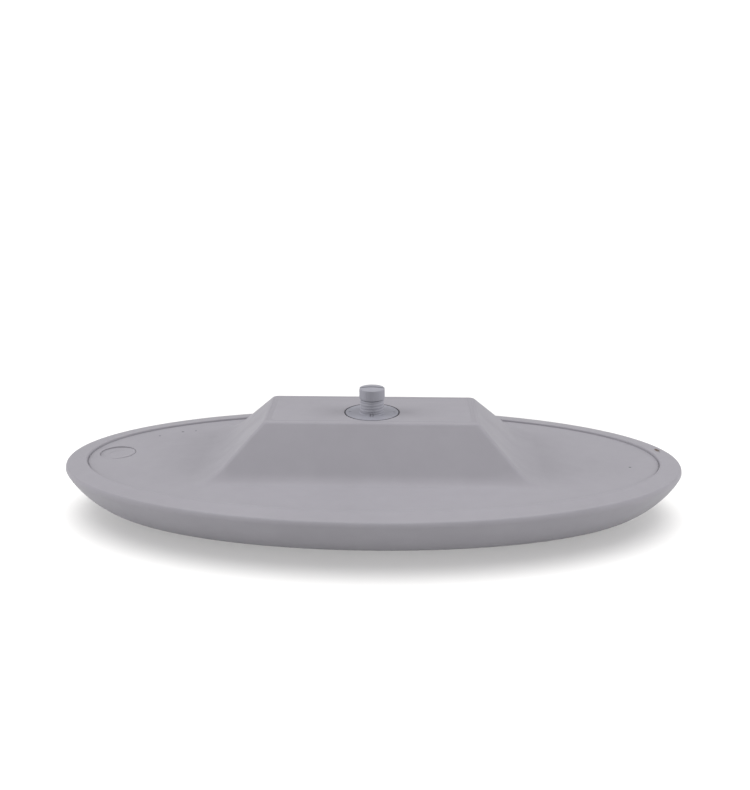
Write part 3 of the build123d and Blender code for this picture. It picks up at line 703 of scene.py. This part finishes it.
class FinishShop:
    """Makes each finish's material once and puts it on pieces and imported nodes."""

    def __init__(self, record: dict) -> None:
        """Reads which slot each node takes its finish from."""
        self.slot_of = {part["node"]: part["material_slot"] for part in record["subparts"]}
        self.made = {}

    def material(self, slot: str) -> Material:
        """The material of a slot, made on first use."""
        if slot not in self.made:
            self.made[slot] = FINISHES[slot].material(slot)
        return self.made[slot]

    def dress(self, obj: Piece, body: str, slot: str, *nodes: str) -> Piece:
        """Finishes a new piece and fixes it to a body.

        Args:
            obj: the piece.
            body: the body that it moves with.
            slot: the finish.
            nodes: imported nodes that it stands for.

        Returns:
            The same piece.
        """
        obj.data.materials.clear()
        obj.data.materials.append(self.material(slot))
        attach(obj, body)
        if nodes:
            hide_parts(*nodes)
        log.info("%s: %d faces on %s, %s", obj.name, len(obj.data.polygons), body, slot)
        return obj

    def dress_node(self, node: str, obj: Piece) -> None:
        """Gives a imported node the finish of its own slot."""
        material = self.material(self.slot_of[node])
        if not obj.material_slots:
            obj.data.materials.append(material)
        for place in obj.material_slots:
            place.material = material
        log.info("%s: %s", node, self.slot_of[node])


# Outside

@dataclass
class Oval:
    """The outline of the body: an ellipse, and ellipses a given distance inside it."""

    half_length: float = 307.97
    half_width: float = 157.93
    columns: int = 288

    def rings(self, stations: Array) -> Array:
        """Level ellipses for (half x, half y, height) rows."""
        return hoops(stations[:, :1], stations[:, 1:2], stations[:, 2:], self.columns)

    def inset(self, line: Array) -> Array:
        """Turns (inset, height) points into (half x, half y, height) rows."""
        return np.column_stack([self.half_length - line[:, 0], self.half_width - line[:, 0], line[:, 1]])


@dataclass
class Radome:
    """The moulded dome: convex bowl, rounded edge, sloping rim band, step, lip and seat."""

    oval: Oval = field(default_factory=Oval)
    rim_z: float = 60.0
    widest_z: float = 53.0
    edge_z: float = 57.4
    edge_round: float = 2.5
    wall: float = 3.2
    under_x: float = 78.0
    under_y: float = 86.0
    power_out: float = 2.07
    power_down: float = 1.2
    step_inset: float = 21.5
    lip_wall: float = 3.5
    seat_inset: float = 36.0
    seat_z: float = 54.0
    seat_thick: float = 3.0

    def bowl(self, rows: int, wall: float) -> Array:
        """Stations of the bowl, from its flat middle to its widest level.

        For t from 0 to a quarter turn the inset is the flat underside's inset times 1 - sin(t)^(2/p), and
        the depth is widest cos(t)^(2/q). The inner bowl is the same line one wall further in.

        Args:
            rows: stations along the curve.
            wall: distance inside the outer surface.

        Returns:
            (rows + 3, 3) stations.
        """
        t = np.linspace(0, np.pi / 2, rows)
        inward = 1 - np.sin(t) ** (2 / self.power_out)
        half_x = self.oval.half_length - wall - self.under_x * inward
        half_y = self.oval.half_width - wall - self.under_y * inward
        depth = (self.widest_z - wall) * np.maximum(np.cos(t), 0) ** (2 / self.power_down)
        middle = np.array([0.1, 0.4, 0.7])
        return np.column_stack([np.append(half_x[0] * middle, half_x), np.append(half_y[0] * middle, half_y),
                                self.widest_z - np.append(np.full(3, self.widest_z - wall), depth)])

    def rim(self) -> Array:
        """Stations over the edge, across the band, down the step and round under the lip."""
        turn = np.linspace(0, np.pi / 2, 12)[1:]
        edge = np.column_stack([self.edge_round * (1 - np.cos(turn)),
                                self.widest_z + (self.edge_z - self.widest_z) * np.sin(turn)])
        across = np.linspace(0, 1, 8)[1:-1]
        band = np.column_stack([self.edge_round + across * (self.step_inset - self.edge_round),
                                self.edge_z + across * (self.rim_z - self.edge_z)])
        under = self.seat_z - self.seat_thick
        inner = rounded([(self.step_inset, self.rim_z, 1.5), (self.step_inset, self.seat_z, 0.4),
                         (self.seat_inset, self.seat_z, 0.5), (self.seat_inset, under, 0.5),
                         (self.step_inset - self.lip_wall, under, 0.6),
                         (self.step_inset - self.lip_wall, self.seat_z + 0.2, 0.8),
                         (self.edge_round + self.wall, self.seat_z + 0.2, 1.0),
                         (self.edge_round + self.wall, self.rim_z, 0.0)], 4)[:-4]
        return self.oval.inset(np.vstack([edge, band, inner]))

    def build(self, shop: FinishShop) -> None:
        """Makes the dome as one closed shell."""
        stations = np.vstack([self.bowl(96, 0.0), self.rim(), self.bowl(44, self.wall)[::-1]])
        shell = skin("dome_shell", self.oval.rings(stations), Ends.POLES, 40)
        shop.dress(shell, "housing", "radome_grey", "dome_radome")


@dataclass
class Cover:
    """The cover: level oval panel that rises in hollow flanks to a flat pyramid top."""

    oval: Oval = field(default_factory=Oval)
    edge_inset: float = 22.1
    panel_z: float = 58.0
    panel_thick: float = 3.0
    top_z: float = 106.5
    top_x: float = 104.0
    top_y: float = 43.5
    back: float = 8.0
    side_run: float = 1.0
    front_run: float = 0.77
    ridge: float = 5.0
    side_blend: float = 20.0
    front_blend: float = 9.0
    top_edge: float = 1.6
    top_thick: float = 4.0
    flank_wall: float = 3.2
    hole_r: float = 27.2
    hole_round: float = 0.7
    edge_round: float = 0.8
    border_width: float = 7.0
    border_depth: float = 0.3
    border_in: float = 7.4
    crest: float = 2.2
    brow: float = 2.5
    flank_drop: float = 30.0
    side_columns: int = 22
    corner_columns: int = 6
    front_columns: int = 38
    corner_angle: float = 48.3
    plug_at: tuple = (-260.0, 7.0)
    recess_r: float = 17.9
    recess: float = 1.6
    plug_hole_r: float = 8.5
    plug_boss_r: float = 11.0
    plug_boss_z: float = 47.0
    boss_at: tuple = (88.0, 27.0)
    boss_r: float = 5.0
    boss_bore: float = 1.4
    boss_z: tuple = (61.0, 103.5)

    def height(self, x: Array, y: Array, inner: bool = False) -> Array:
        """Height of the outer or inner surface over a point.

        Each flank is a plane that falls one millimetre for its run. The lower of the two is taken with a
        rounded ridge, the higher of that and the panel with a wide hollow blend, and the lower of that and
        the flat top with a crisp rounding. The inner surface has the same planes one wall further in.
        """
        wall = self.flank_wall if inner else 0.0
        panel = self.panel_z - (self.panel_thick if inner else 0.0)
        top = self.top_z - (self.top_thick if inner else 0.0)
        side = self.top_z - (np.abs(x) - self.top_x) / self.side_run - wall * math.hypot(1, 1 / self.side_run)
        front = (self.top_z - (np.abs(y - self.back) - self.top_y) / self.front_run
                 - wall * math.hypot(1, 1 / self.front_run))
        flank = soft_min(side, front, self.ridge)
        share = ease(-40, 40, side - front)
        blend = self.side_blend + (self.front_blend - self.side_blend) * share
        return soft_min(soft_max(flank, panel + 0 * flank, blend), top + 0 * flank, self.top_edge)

    def border(self, x: Array, y: Array) -> Array:
        """1 on the sunken border of the flat top and 0 off it. The mask sinks the border and tells the paint
        where to darken it as painted shade.
        """
        inside = soft_min(self.top_x - np.abs(x), self.top_y - np.abs(y - self.back), 5.0)
        strip = ease(1.2, 2.2, inside) * (1 - ease(self.border_width - 0.8, self.border_width, inside))
        return strip * ease(-self.top_y + 1, -self.top_y + 9, y - self.back)

    def mirrored(self, quarter: Array, far: tuple) -> Array:
        """A whole ring from its first quarter, which starts on +X and stops before the point on +Y."""
        back = np.vstack([[far], quarter[:0:-1]])
        return np.vstack([quarter, back * (-1, 1), -quarter, back * (1, -1)])

    def square_ring(self, half_x: float, half_y: float) -> Array:
        """Rounded rectangle whose corners are the level line of the rounded ridge.

        With d from -1 to 1 over a corner, the point lies a share (1 - |d|)^2 / 4 of the corner's length
        inside one side and |d| further inside the other.
        """
        long_x, long_y = self.side_run * self.ridge, self.front_run * self.ridge
        d = np.linspace(-1, 1, 2 * self.corner_columns, endpoint=False)
        near = (1 - np.abs(d)) ** 2 / 4
        from_x, from_y = near + np.maximum(d, 0), near + np.maximum(-d, 0)
        up = np.linspace(0, half_y - long_y, self.side_columns, endpoint=False)
        along = np.linspace(half_x - long_x, 0, self.front_columns, endpoint=False)
        quarter = np.vstack([np.column_stack([np.full_like(up, half_x), up]),
                             np.column_stack([half_x - long_x * from_x, half_y - long_y * from_y]),
                             np.column_stack([along, np.full_like(along, half_y)])])
        return self.mirrored(quarter, (0.0, half_y)) + (0.0, self.back)

    def round_ring(self, half_x: float, half_y: float, corner: float) -> Array:
        """Ellipse whose points match the rectangle's columns, with the corner at an angle in degrees."""
        split = math.radians(corner)
        low = np.linspace(0, split, self.side_columns + self.corner_columns, endpoint=False)
        high = np.linspace(split, np.pi / 2, self.front_columns + self.corner_columns, endpoint=False)
        turn = np.append(low, high)
        return self.mirrored(np.column_stack([half_x * np.cos(turn), half_y * np.sin(turn)]), (0.0, half_y))

    def hole_ring(self, radius: float) -> Array:
        """Circle round the stud whose points match the corners of the flat top."""
        return self.round_ring(radius, radius, math.degrees(math.atan2(self.top_y, self.top_x)))

    def plan(self, fine: bool) -> Array:
        """Rings in plan from the disc's hole out to the cover's edge.

        Between the hole and the top's border, and between the flanks and the edge, a ring is the weighted
        mean (1 - s) inner + s outer of the two outlines, with s rising evenly.

        Args:
            fine: True for the outer surface, or False for the inner one, which needs fewer rings.

        Returns:
            (rings, columns, 2) places.
        """
        middle_rows, border_rows, crest_rows, brow_rows, flank_rows, panel_rows = \
            (9, 13, 8, 9, 34, 44) if fine else (4, 3, 3, 3, 12, 22)
        hole = self.hole_ring(self.hole_r + self.hole_round)
        inner = self.square_ring(self.top_x - self.border_in, self.top_y - self.border_in)
        s = np.linspace(0, 1, middle_rows)[:-1, None, None]
        insets = np.append(np.linspace(-self.border_in, -self.crest, border_rows)[:-1],
                           np.linspace(-self.crest, 0, crest_rows))
        top = np.stack([self.square_ring(self.top_x + v, self.top_y + v) for v in insets])
        drops = np.append(np.linspace(0, self.brow, brow_rows)[1:],
                          np.linspace(self.brow, self.flank_drop, flank_rows)[1:])
        flank = np.stack([self.square_ring(self.top_x + self.side_run * v, self.top_y + self.front_run * v)
                          for v in drops])
        inset = self.edge_inset + self.edge_round
        edge = self.round_ring(self.oval.half_length - inset, self.oval.half_width - inset, self.corner_angle)
        w = np.linspace(0, 1, panel_rows)[1:, None, None]
        return np.concatenate([(1 - s) * hole + s * inner, top, flank, (1 - w) * flank[-1] + w * edge])

    def level_rings(self, outline: Callable, stations: list) -> Array:
        """Level rings for (inset, height) stations, each the outline at that inset."""
        flat = np.stack([outline(inset) for inset, _ in stations])
        level = np.array([z for _, z in stations])[:, None, None]
        return np.concatenate([flat, np.broadcast_to(level, (*flat.shape[:2], 1))], axis=-1)

    def shell(self) -> Piece:
        """The cover as one closed shell: hole, outer surface, rounded edge and inner surface."""
        plan, under = self.plan(True), self.plan(False)[::-1]
        rise = self.height(plan[..., 0], plan[..., 1])
        rise = rise - self.border_depth * self.border(plan[..., 0], plan[..., 1])
        drop = self.height(under[..., 0], under[..., 1], True)
        bend, bottom = self.edge_round, self.panel_z - self.panel_thick
        lips = [(bend * (1 - math.sin(v)), self.panel_z - bend * (1 - math.cos(v)))
                for v in np.linspace(0, np.pi / 2, 5)[1:]] + [(0.0, bottom + 0.4), (0.4, bottom)]
        half_x, half_y = self.oval.half_length - self.edge_inset, self.oval.half_width - self.edge_inset
        edge = self.level_rings(lambda v: self.round_ring(half_x - v, half_y - v, self.corner_angle), lips)
        low, high = self.top_z - self.top_thick + 0.4, self.top_z - self.hole_round
        bore = self.level_rings(lambda v: self.hole_ring(self.hole_r - v), [(0.0, low), (0.0, high)])
        rings = [bore, np.dstack([plan, rise]), edge, np.dstack([under, drop])]
        return skin("cover_shell", np.concatenate(rings), Ends.LOOP, 40)

    def seat_cutter(self) -> Piece:
        """What the plug's hole and its stepped recess take out of the cover."""
        floor, wide = self.panel_z - self.recess, self.recess_r + 0.5
        return turned("cutter", [(self.plug_hole_r, self.plug_boss_z - 2, 0), (self.plug_hole_r, floor, 0),
                                 (self.recess_r, floor, 0.3), (self.recess_r, self.panel_z - 0.35, 0),
                                 (wide, self.panel_z + 0.2, 0), (wide, self.panel_z + 3, 0)],
                      self.plug_at, 96, 2, Ends.POLES)

    def posts(self) -> list:
        """The four screw posts under the flat top and the boss round the plug's hole."""
        low, high = self.boss_z
        section = [(self.boss_bore, low, 0.2), (self.boss_r, low, 0.5), (self.boss_r, high - 5, 2),
                   (self.boss_r + 1.5, high, 0.5), (self.boss_bore, high, 0.1)]
        posts = [turned(f"post_{i}", section, (sx * self.boss_at[0], sy * self.boss_at[1]), 40)
                 for i, (sx, sy) in enumerate([(1, 1), (-1, 1), (-1, -1), (1, -1)])]
        inside = self.panel_z - self.panel_thick + 0.2
        posts.append(flat_ring("plug_post", (self.plug_hole_r, self.plug_boss_r), (self.plug_boss_z, inside),
                               (0.3, 0.5, 0.5, 0.1), self.plug_at, 64))
        return posts

    def build(self, shop: FinishShop) -> None:
        """Makes the shell, cuts the plug's seat, marks the border where the paint puts its painted shade and
        adds the posts inside.
        """
        shell = carve(self.shell(), [self.seat_cutter()], 40)
        spots = places(shell) / MM
        # The border mask, on the flat top only, is stored for the painted shade on the sunken border.
        on_top = (spots[:, 2] > self.top_z - 2).astype(float)
        values = shell.data.attributes.new("border", "FLOAT", "POINT")
        values.data.foreach_set("value", (self.border(spots[:, 0], spots[:, 1]) * on_top).astype(np.float32))
        shop.dress(shell, "housing", "cover_grey", "mounting_cover")
        shop.dress(joined("cover_posts", self.posts()), "housing", "insert_grey")


@dataclass
class RimBead:
    """The sealing bead that lies in the gap between the step and the cover's edge."""

    oval: Oval = field(default_factory=Oval)
    inner_inset: float = 35.0
    outer_inset: float = 21.53
    seat_z: float = 54.0
    thick: float = 1.0
    bead_width: float = 0.54
    bead_z: float = 57.9

    def build(self, shop: FinishShop) -> None:
        """Carries the flat section with its raised outer bead round the oval."""
        outer, bead, inner = self.outer_inset, self.outer_inset + self.bead_width, self.inner_inset
        low, high = self.seat_z + 0.02, self.seat_z + self.thick - 0.03
        line = rounded([(outer, low, 0.2), (outer, self.bead_z, 0.2), (bead, self.bead_z, 0.2),
                        (bead, high, 0.05), (inner, high, 0.2), (inner, low, 0.2)], 4)
        piece = skin("rim_bead", self.oval.rings(self.oval.inset(line)), Ends.LOOP)
        shop.dress(piece, "housing", "bead_rubber", "rim_seal")


@dataclass
class StudMount:
    """Round insert, threaded hollow stud, its inner nut and washer, and their seals."""

    top_z: float = 106.5
    disc_r: float = 26.5
    hole_r: float = 11.05
    flange_r: float = 32.0
    flange_z: tuple = (98.1, 101.5)
    major: float = 12.0
    root: float = 11.72
    minor: float = 11.0
    pitch: float = 3.0
    stud_top: float = 120.1
    lower_r: float = 11.0
    bottom_z: float = 86.0
    bore_r: float = 7.5
    washer_r: float = 22.0
    nut_flats: float = 36.0
    nut_z: tuple = (86.1, 96.1)
    dimple_at: float = 21.6
    dimple: tuple = (1.2, 2.1, 0.45)
    key_at: float = 1.35
    key_half: float = 0.45
    key_deep: float = 0.9
    key_reach: tuple = (10, 15.5)
    hub_r: float = 12.2
    hub: float = 1.0
    lip: float = -0.05

    def disc(self, shop: FinishShop) -> None:
        """The insert, with two spanner dimples and two pairs of keyways at the stud, and its seal."""
        (low, high), top, hub = self.flange_z, self.top_z - 0.05, self.top_z + self.hub
        body = turned("disc_insert", [(self.hole_r, low, 0.3), (self.flange_r, low, 0.5),
                                      (self.flange_r, high, 0.5), (self.disc_r, high, 0.2),
                                      (self.disc_r, top, 0.8), (self.hub_r + 0.5, top, 0.6),
                                      (self.hub_r, hub, 0.4), (self.hole_r, hub, 0.1)], columns=160)
        floor_r, mouth_r, deep = self.dimple
        cutters = [turned(f"dimple_{s}", [(floor_r, self.top_z - deep, 0.3), (mouth_r, self.top_z + 2, 0)],
                          (s * self.dimple_at, 0.0), 32, ends=Ends.POLES) for s in (-1, 1)]
        half, key_at, key_low = self.key_half, self.key_at, self.top_z - self.key_deep
        for s, i in ((-1, -1), (-1, 1), (1, -1), (1, 1)):
            low_y, high_y = sorted(s * v for v in self.key_reach)
            cutters.append(block(f"key_{s}_{i}", (i * key_at - half, low_y, key_low),
                                 (i * key_at + half, high_y, self.top_z + 4), 0.15))
        shop.dress(carve(body, cutters), "housing", "insert_grey", "mounting_disc")
        low, high = levels("disc_seal", 0.04)
        inner, outer = self.disc_r + 0.15, self.disc_r + 0.55
        wide, lip = self.flange_r - 0.5, self.top_z + self.lip
        section = [(inner, low, 0.1), (wide, low, 0.1), (wide, high, 0.3), (outer, high, 0.1),
                   (outer, lip, 0.15), (inner, lip, 0.15)]
        gasket = turned("disc_gasket", section, columns=160)
        shop.dress(gasket, "housing", "seal_rubber", "disc_seal")

    def stud(self, shop: FinishShop) -> None:
        """The stud, with a right-hand trapezoid thread.

        With phase = height / pitch - turn, the flank is a triangle wave of the phase stretched by 1.5 and
        cut to -1..1, and the radius is the mean plus half the depth times that, fading in at both ends.
        """
        columns = 128
        z = np.linspace(self.top_z, self.stud_top - 0.5, 156)[:, None]
        phase = (z - self.top_z) / self.pitch - np.linspace(0, 1, columns, endpoint=False)
        wave = np.clip(1.5 * (4 * np.abs(phase - np.floor(phase + 0.5)) - 1), -1, 1)
        mean, half = (self.major + self.root) / 2, (self.major - self.root) / 2
        fade = ease(self.top_z + self.hub - 0.6, self.top_z + self.hub + 0.6, z)
        top_fade = 1 - ease(self.stud_top - 1.8, self.stud_top - 0.5, z)
        radius = self.minor + (mean + half * wave - self.minor) * fade * (0.85 + 0.15 * top_fade)
        thread = hoops(radius, radius, z, columns)
        bore, foot, low, high, bend = self.bore_r, self.lower_r, self.bottom_z, self.stud_top, 0.5
        rest = np.array([(self.root - 0.1, high), (bore + bend, high), (bore, high - bend),
                         (bore, low + bend), (bore + bend, low), (foot - 0.6, low), (foot, low + 0.6),
                         (foot, self.top_z - 0.9), (self.minor, self.top_z - 0.6)])
        rest = hoops(rest[:, :1], rest[:, :1], rest[:, 1:], columns)
        piece = skin("threaded_stud", np.concatenate([thread, rest]), Ends.LOOP, 50)
        shop.dress(piece, "housing", "stud_grey", "mounting_stud")

    def clamp(self, shop: FinishShop) -> None:
        """The hexagonal nut under its washer, each with broken edges.

        A flat lies at half the width across flats / cos(turn from the flat's middle), cut where that is
        more than the corner's radius less the chamfer.
        """
        columns, (low, high), half = 144, self.nut_z, self.nut_flats / 2
        turn = np.linspace(0, 2 * np.pi, columns, endpoint=False)
        side = np.mod(turn + np.pi / 6, np.pi / 3) - np.pi / 6
        cut = np.array([1.4, 0.0, 0.0, 1.4])[:, None]
        outside = np.minimum(half / np.cos(side), half / math.cos(np.pi / 6) - 0.5 - cut)
        bore = np.array([self.hole_r + 0.55, self.hole_r, self.hole_r, self.hole_r + 0.55])[:, None]
        reach = np.vstack([outside, np.repeat(bore, columns, axis=1)])
        rows = np.array([low, low + 1.1, high - 1.1, high, high, high - 0.6, low + 0.6, low])[:, None]
        nut = skin("clamp_nut", hoops(reach, reach, rows, columns), Ends.LOOP, 25)
        shop.dress(nut, "housing", "stud_grey", "stud_nut")
        washer = flat_ring("clamp_washer", (self.hole_r + 0.15, self.washer_r), levels("stud_washer"),
                           (0.3, 0.4, 0.4, 0.3))
        shop.dress(washer, "housing", "screw_steel", "stud_washer")

    def build(self, shop: FinishShop) -> None:
        """Makes the disc, the stud and what clamps it."""
        self.disc(shop)
        self.stud(shop)
        self.clamp(shop)


@dataclass
class StudCap:
    """The ribbed, slotted cap that closes the stud, and the seal under it."""

    low_z: float = 120.6
    high_z: float = 132.4
    side_r: float = 12.4
    rib: float = 0.2
    ribs: int = 40
    crown: float = 1.1
    edge: float = 0.5
    shank_r: float = 7.2
    shank: float = 8.1
    slot: tuple = (2.4, 2.6)
    seal_z: tuple = (120.1, 120.6)

    def build(self, shop: FinishShop) -> None:
        """Makes the cap as a closed shell, cuts its slot and adds the seal.

        The side's radius is the plain radius plus the rib height times max(cos(n turn), 0)^0.6, which fades
        out towards the edge. The crown falls with the square of the distance from the axis.
        """
        columns = self.ribs * 8
        swell = np.maximum(np.cos(self.ribs * np.linspace(0, 2 * np.pi, columns, endpoint=False)), 0) ** 0.6
        low, side, shank, foot = self.low_z, self.side_r, self.shank_r, self.low_z - self.shank
        rim_r, rim_z = side - self.edge, self.high_z - self.crown - self.edge
        rows = [(shank - 0.6, foot, 0), (shank, foot + 0.6, 0), (shank, low - 0.02, 0), (side - 0.5, low, 0),
                (side, low + 0.5, 0), (side, low + 1.0, 1)]
        rows += [(side, z, 1) for z in np.linspace(low + 1.6, rim_z - 0.6, 6)]
        rows += [(rim_r + self.edge * math.cos(v), rim_z + self.edge * math.sin(v), 0)
                 for v in np.linspace(0, np.pi / 2, 7)]
        rows += [(r, self.high_z - self.crown * (r / rim_r) ** 2, 0) for r in np.linspace(rim_r, 0.6, 9)[1:]]
        radius, level, ribbed = (np.array(v)[:, None] for v in zip(*rows))
        reach = radius + ribbed * self.rib * swell
        cap = skin("slotted_cap", hoops(reach, reach, level, columns), Ends.POLES)
        wide, deep = self.slot
        groove = block("groove", (-14, -wide / 2, self.high_z - deep), (14, wide / 2, self.high_z + 3), 0.25)
        shop.dress(carve(cap, [groove]), "cap", "stud_grey", "stud_cap")
        low, high = self.seal_z
        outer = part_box("stud_cap_seal")[1][0] / MM
        ring = flat_ring("cap_ring", (shank + 0.1, outer), (low + 0.04, high - 0.04), (0.1, 0.2, 0.2, 0.1))
        shop.dress(ring, "cap", "seal_rubber", "stud_cap_seal")


@dataclass
class VentPlug:
    """The shallow round plug near one end of the cover, which sits a little crooked in its recess."""

    at: tuple = (-260.0, 7.0)
    head_r: float = 17.62
    top_z: float = 58.15
    seat_z: float = 56.95
    shank_r: float = 8.0
    shank_z: float = 50.4
    lean: float = 0.060
    lean_angle: float = -42.0
    dish: float = 0.55

    def build(self, shop: FinishShop) -> None:
        """Makes the head and shank as a lathe, then leans the head's upper face.

        Above the seat each point drops by lean times its distance towards the low side.
        """
        shank, head, seat, top = self.shank_r, self.head_r, self.seat_z, self.top_z
        plug = turned("vent_cap", [(shank - 0.6, self.shank_z, 0.2), (shank, self.shank_z + 0.6, 0.2),
                                   (shank, seat, 0.3), (head - 3.6, seat, 0.1), (head - 3.6, seat - 0.2, 0.1),
                                   (head - 0.2, seat - 0.2, 0.2), (head, top, 0.9), (head - 2.2, top, 1.2),
                                   (head - 6.0, top - self.dish, 2.0)], self.at, 96, 7, Ends.POLES)
        spots, toward = places(plug), math.radians(self.lean_angle)
        away = spots[:, :2] - np.array(self.at) * MM
        reach = away[:, 0] * math.cos(toward) + away[:, 1] * math.sin(toward)
        upper = ease((seat + 0.2) * MM, (top - 0.3) * MM, spots[:, 2])
        spots[:, 2] += self.lean * (reach - head * 0.75 * MM) * upper
        plug.data.vertices.foreach_set("co", spots.ravel())
        smooth(plug.data, 35)
        shop.dress(plug, "plug", "cover_grey", "vent_plug")


# Studio

@dataclass
class Studio:
    """White table, soft overhead light and the camera that looks a little down on the long side."""

    distance: float = 1.0174
    elevation: float = 20.711
    heading: float = 1.739
    aim_z: float = 0.060
    pitch: float = 3.443
    yaw: float = 0.170
    lens: float = 45.87
    world: float = 0.42
    backdrop: float = 1.1
    overhead: float = 0.46
    front: float = 0.15
    left: float = 0.74
    right: float = 0.66
    side_height: float = 25.0
    table_overhead: float = 0.66
    table_front: float = 0.36
    floor_reach: float = 9.0
    floor_z: float = -0.0004
    floor_tone: float = 0.84
    bounce: float = 0.67

    def camera(self) -> None:
        """Places the camera.

        It stands at the distance from the middle of the rim, then its view is pitched up about its own
        right axis and turned right, which is where the rim's middle stands in the frame.
        """
        e, h = math.radians(self.elevation), math.radians(self.heading)
        aim = Vector((0, 0, self.aim_z))
        away = Vector((math.sin(h) * math.cos(e), -math.cos(h) * math.cos(e), math.sin(e)))
        forward = -away
        right = forward.cross(Vector((0, 0, 1))).normalized()
        up = right.cross(forward)
        lift = Matrix.Rotation(math.radians(self.pitch), 3, right)
        forward, up = lift @ forward, lift @ up
        swing = Matrix.Rotation(-math.radians(self.yaw), 3, up)
        forward, right = swing @ forward, swing @ right
        frame = Matrix((right, up, -forward)).transposed()
        data = bpy.data.cameras.new("camera")
        data.lens, data.sensor_width, data.clip_end = self.lens, 36.0, 50.0
        camera = bpy.data.objects.new("camera", data)
        camera.matrix_world = Matrix.Translation(aim + away * self.distance) @ frame.to_4x4()
        bpy.context.scene.collection.objects.link(camera)
        bpy.context.scene.camera = camera

    def light(self, name: str, bearing: float, height: float, spread: float, power: float,
              reach: bpy.types.Collection) -> None:
        """A distant soft light, even over the whole table.

        Args:
            name: the lamp's name.
            bearing: degrees from +X, anticlockwise.
            height: degrees above the table.
            spread: how wide the light is, in degrees.
            power: brightness that it gives a white surface that faces it.
            reach: what it lights.
        """
        data = bpy.data.lights.new(name, "SUN")
        data.energy, data.angle = math.pi * power, math.radians(spread)
        lamp = bpy.data.objects.new(name, data)
        b, h = math.radians(bearing), math.radians(height)
        toward = Vector((math.cos(b) * math.cos(h), math.sin(b) * math.cos(h), math.sin(h)))
        lamp.rotation_euler = (-toward).to_track_quat("-Z", "Y").to_euler()
        lamp.visible_glossy = False
        lamp.light_linking.receiver_collection = reach
        bpy.context.scene.collection.objects.link(lamp)

    def build(self) -> None:
        """Makes the table, the world, the lights and the camera."""
        scene = bpy.context.scene
        scene.view_settings.view_transform = "Standard"
        scene.view_settings.look = "None"
        world = bpy.data.worlds.new("studio")
        world.use_nodes = True
        nodes, links = world.node_tree.nodes, world.node_tree.links
        ray, either = nodes.new("ShaderNodeLightPath"), nodes.new("ShaderNodeMixShader")
        links.new(ray.outputs["Is Camera Ray"], either.inputs["Fac"])
        for place, sky, strength in ((1, nodes["Background"], self.world),
                                     (2, nodes.new("ShaderNodeBackground"), self.backdrop)):
            sky.inputs["Color"].default_value = (1.0, 1.0, 1.0, 1.0)
            sky.inputs["Strength"].default_value = strength
            links.new(sky.outputs[0], either.inputs[place])
        links.new(either.outputs[0], nodes["World Output"].inputs["Surface"])
        scene.world = world
        floor = bpy.data.meshes.new("floor")
        reach, low = self.floor_reach, self.floor_z
        floor.from_pydata([(x * reach, y * reach, low) for x, y in ((-1, -1), (1, -1), (1, 1), (-1, 1))],
                          [], [(0, 1, 2, 3)])
        table = bpy.data.objects.new("floor", floor)
        scene.collection.objects.link(table)
        g = Graph("table_white")
        tone = g.level(g.noise(400, 2), 0.3, 0.7, self.floor_tone - 0.004, self.floor_tone + 0.004)
        seen = g.nodes.new("ShaderNodeLightPath").outputs["Is Camera Ray"]
        white = g.blend(tone, (0.0, 0.0, 0.0), (1.0, 0.995, 0.985))
        shade = g.blend(seen, (self.bounce,) * 3, white)
        floor.materials.append(g.finish(shade, 0.9, [], Specular_IOR_Level=0.0))
        only_table, all_but_table = (bpy.data.collections.new(n) for n in ("only_table", "all_but_table"))
        for group in (only_table, all_but_table):
            group.objects.link(table)
        all_but_table.collection_objects[0].light_linking.link_state = "EXCLUDE"
        grazing = self.table_front / math.sin(math.radians(14.0))
        for name, bearing, height, spread, power, reach in (
                ("overhead", 90.0, 84.0, 70.0, self.overhead, all_but_table),
                ("left", 180.0, self.side_height, 40.0, self.left, all_but_table),
                ("right", 0.0, self.side_height, 40.0, self.right, all_but_table),
                ("front", 270.0, 15.0, 60.0, self.front, all_but_table),
                ("table_overhead", 270.0, 80.0, 50.0, self.table_overhead, only_table),
                ("table_front", 270.0, 14.0, 30.0, grazing, only_table)):
            self.light(name, bearing, height, spread, power, reach)
        self.camera()


def main() -> None:
    """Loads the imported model, builds each sub-assembly and dresses every node that stays."""
    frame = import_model()
    shop = FinishShop(frame["record"])
    oval = Oval()
    for part in (Radome(oval), Cover(oval), RimBead(oval), StudMount(), StudCap(), VentPlug()):
        log.info("building %s", type(part).__name__)
        part.build(shop)
    for node, obj in frame["nodes"].items():
        shop.dress_node(node, obj)
    Studio().build()


if __name__ == "__main__":
    logging.basicConfig(level=logging.INFO, format="%(name)s %(message)s")
    main()
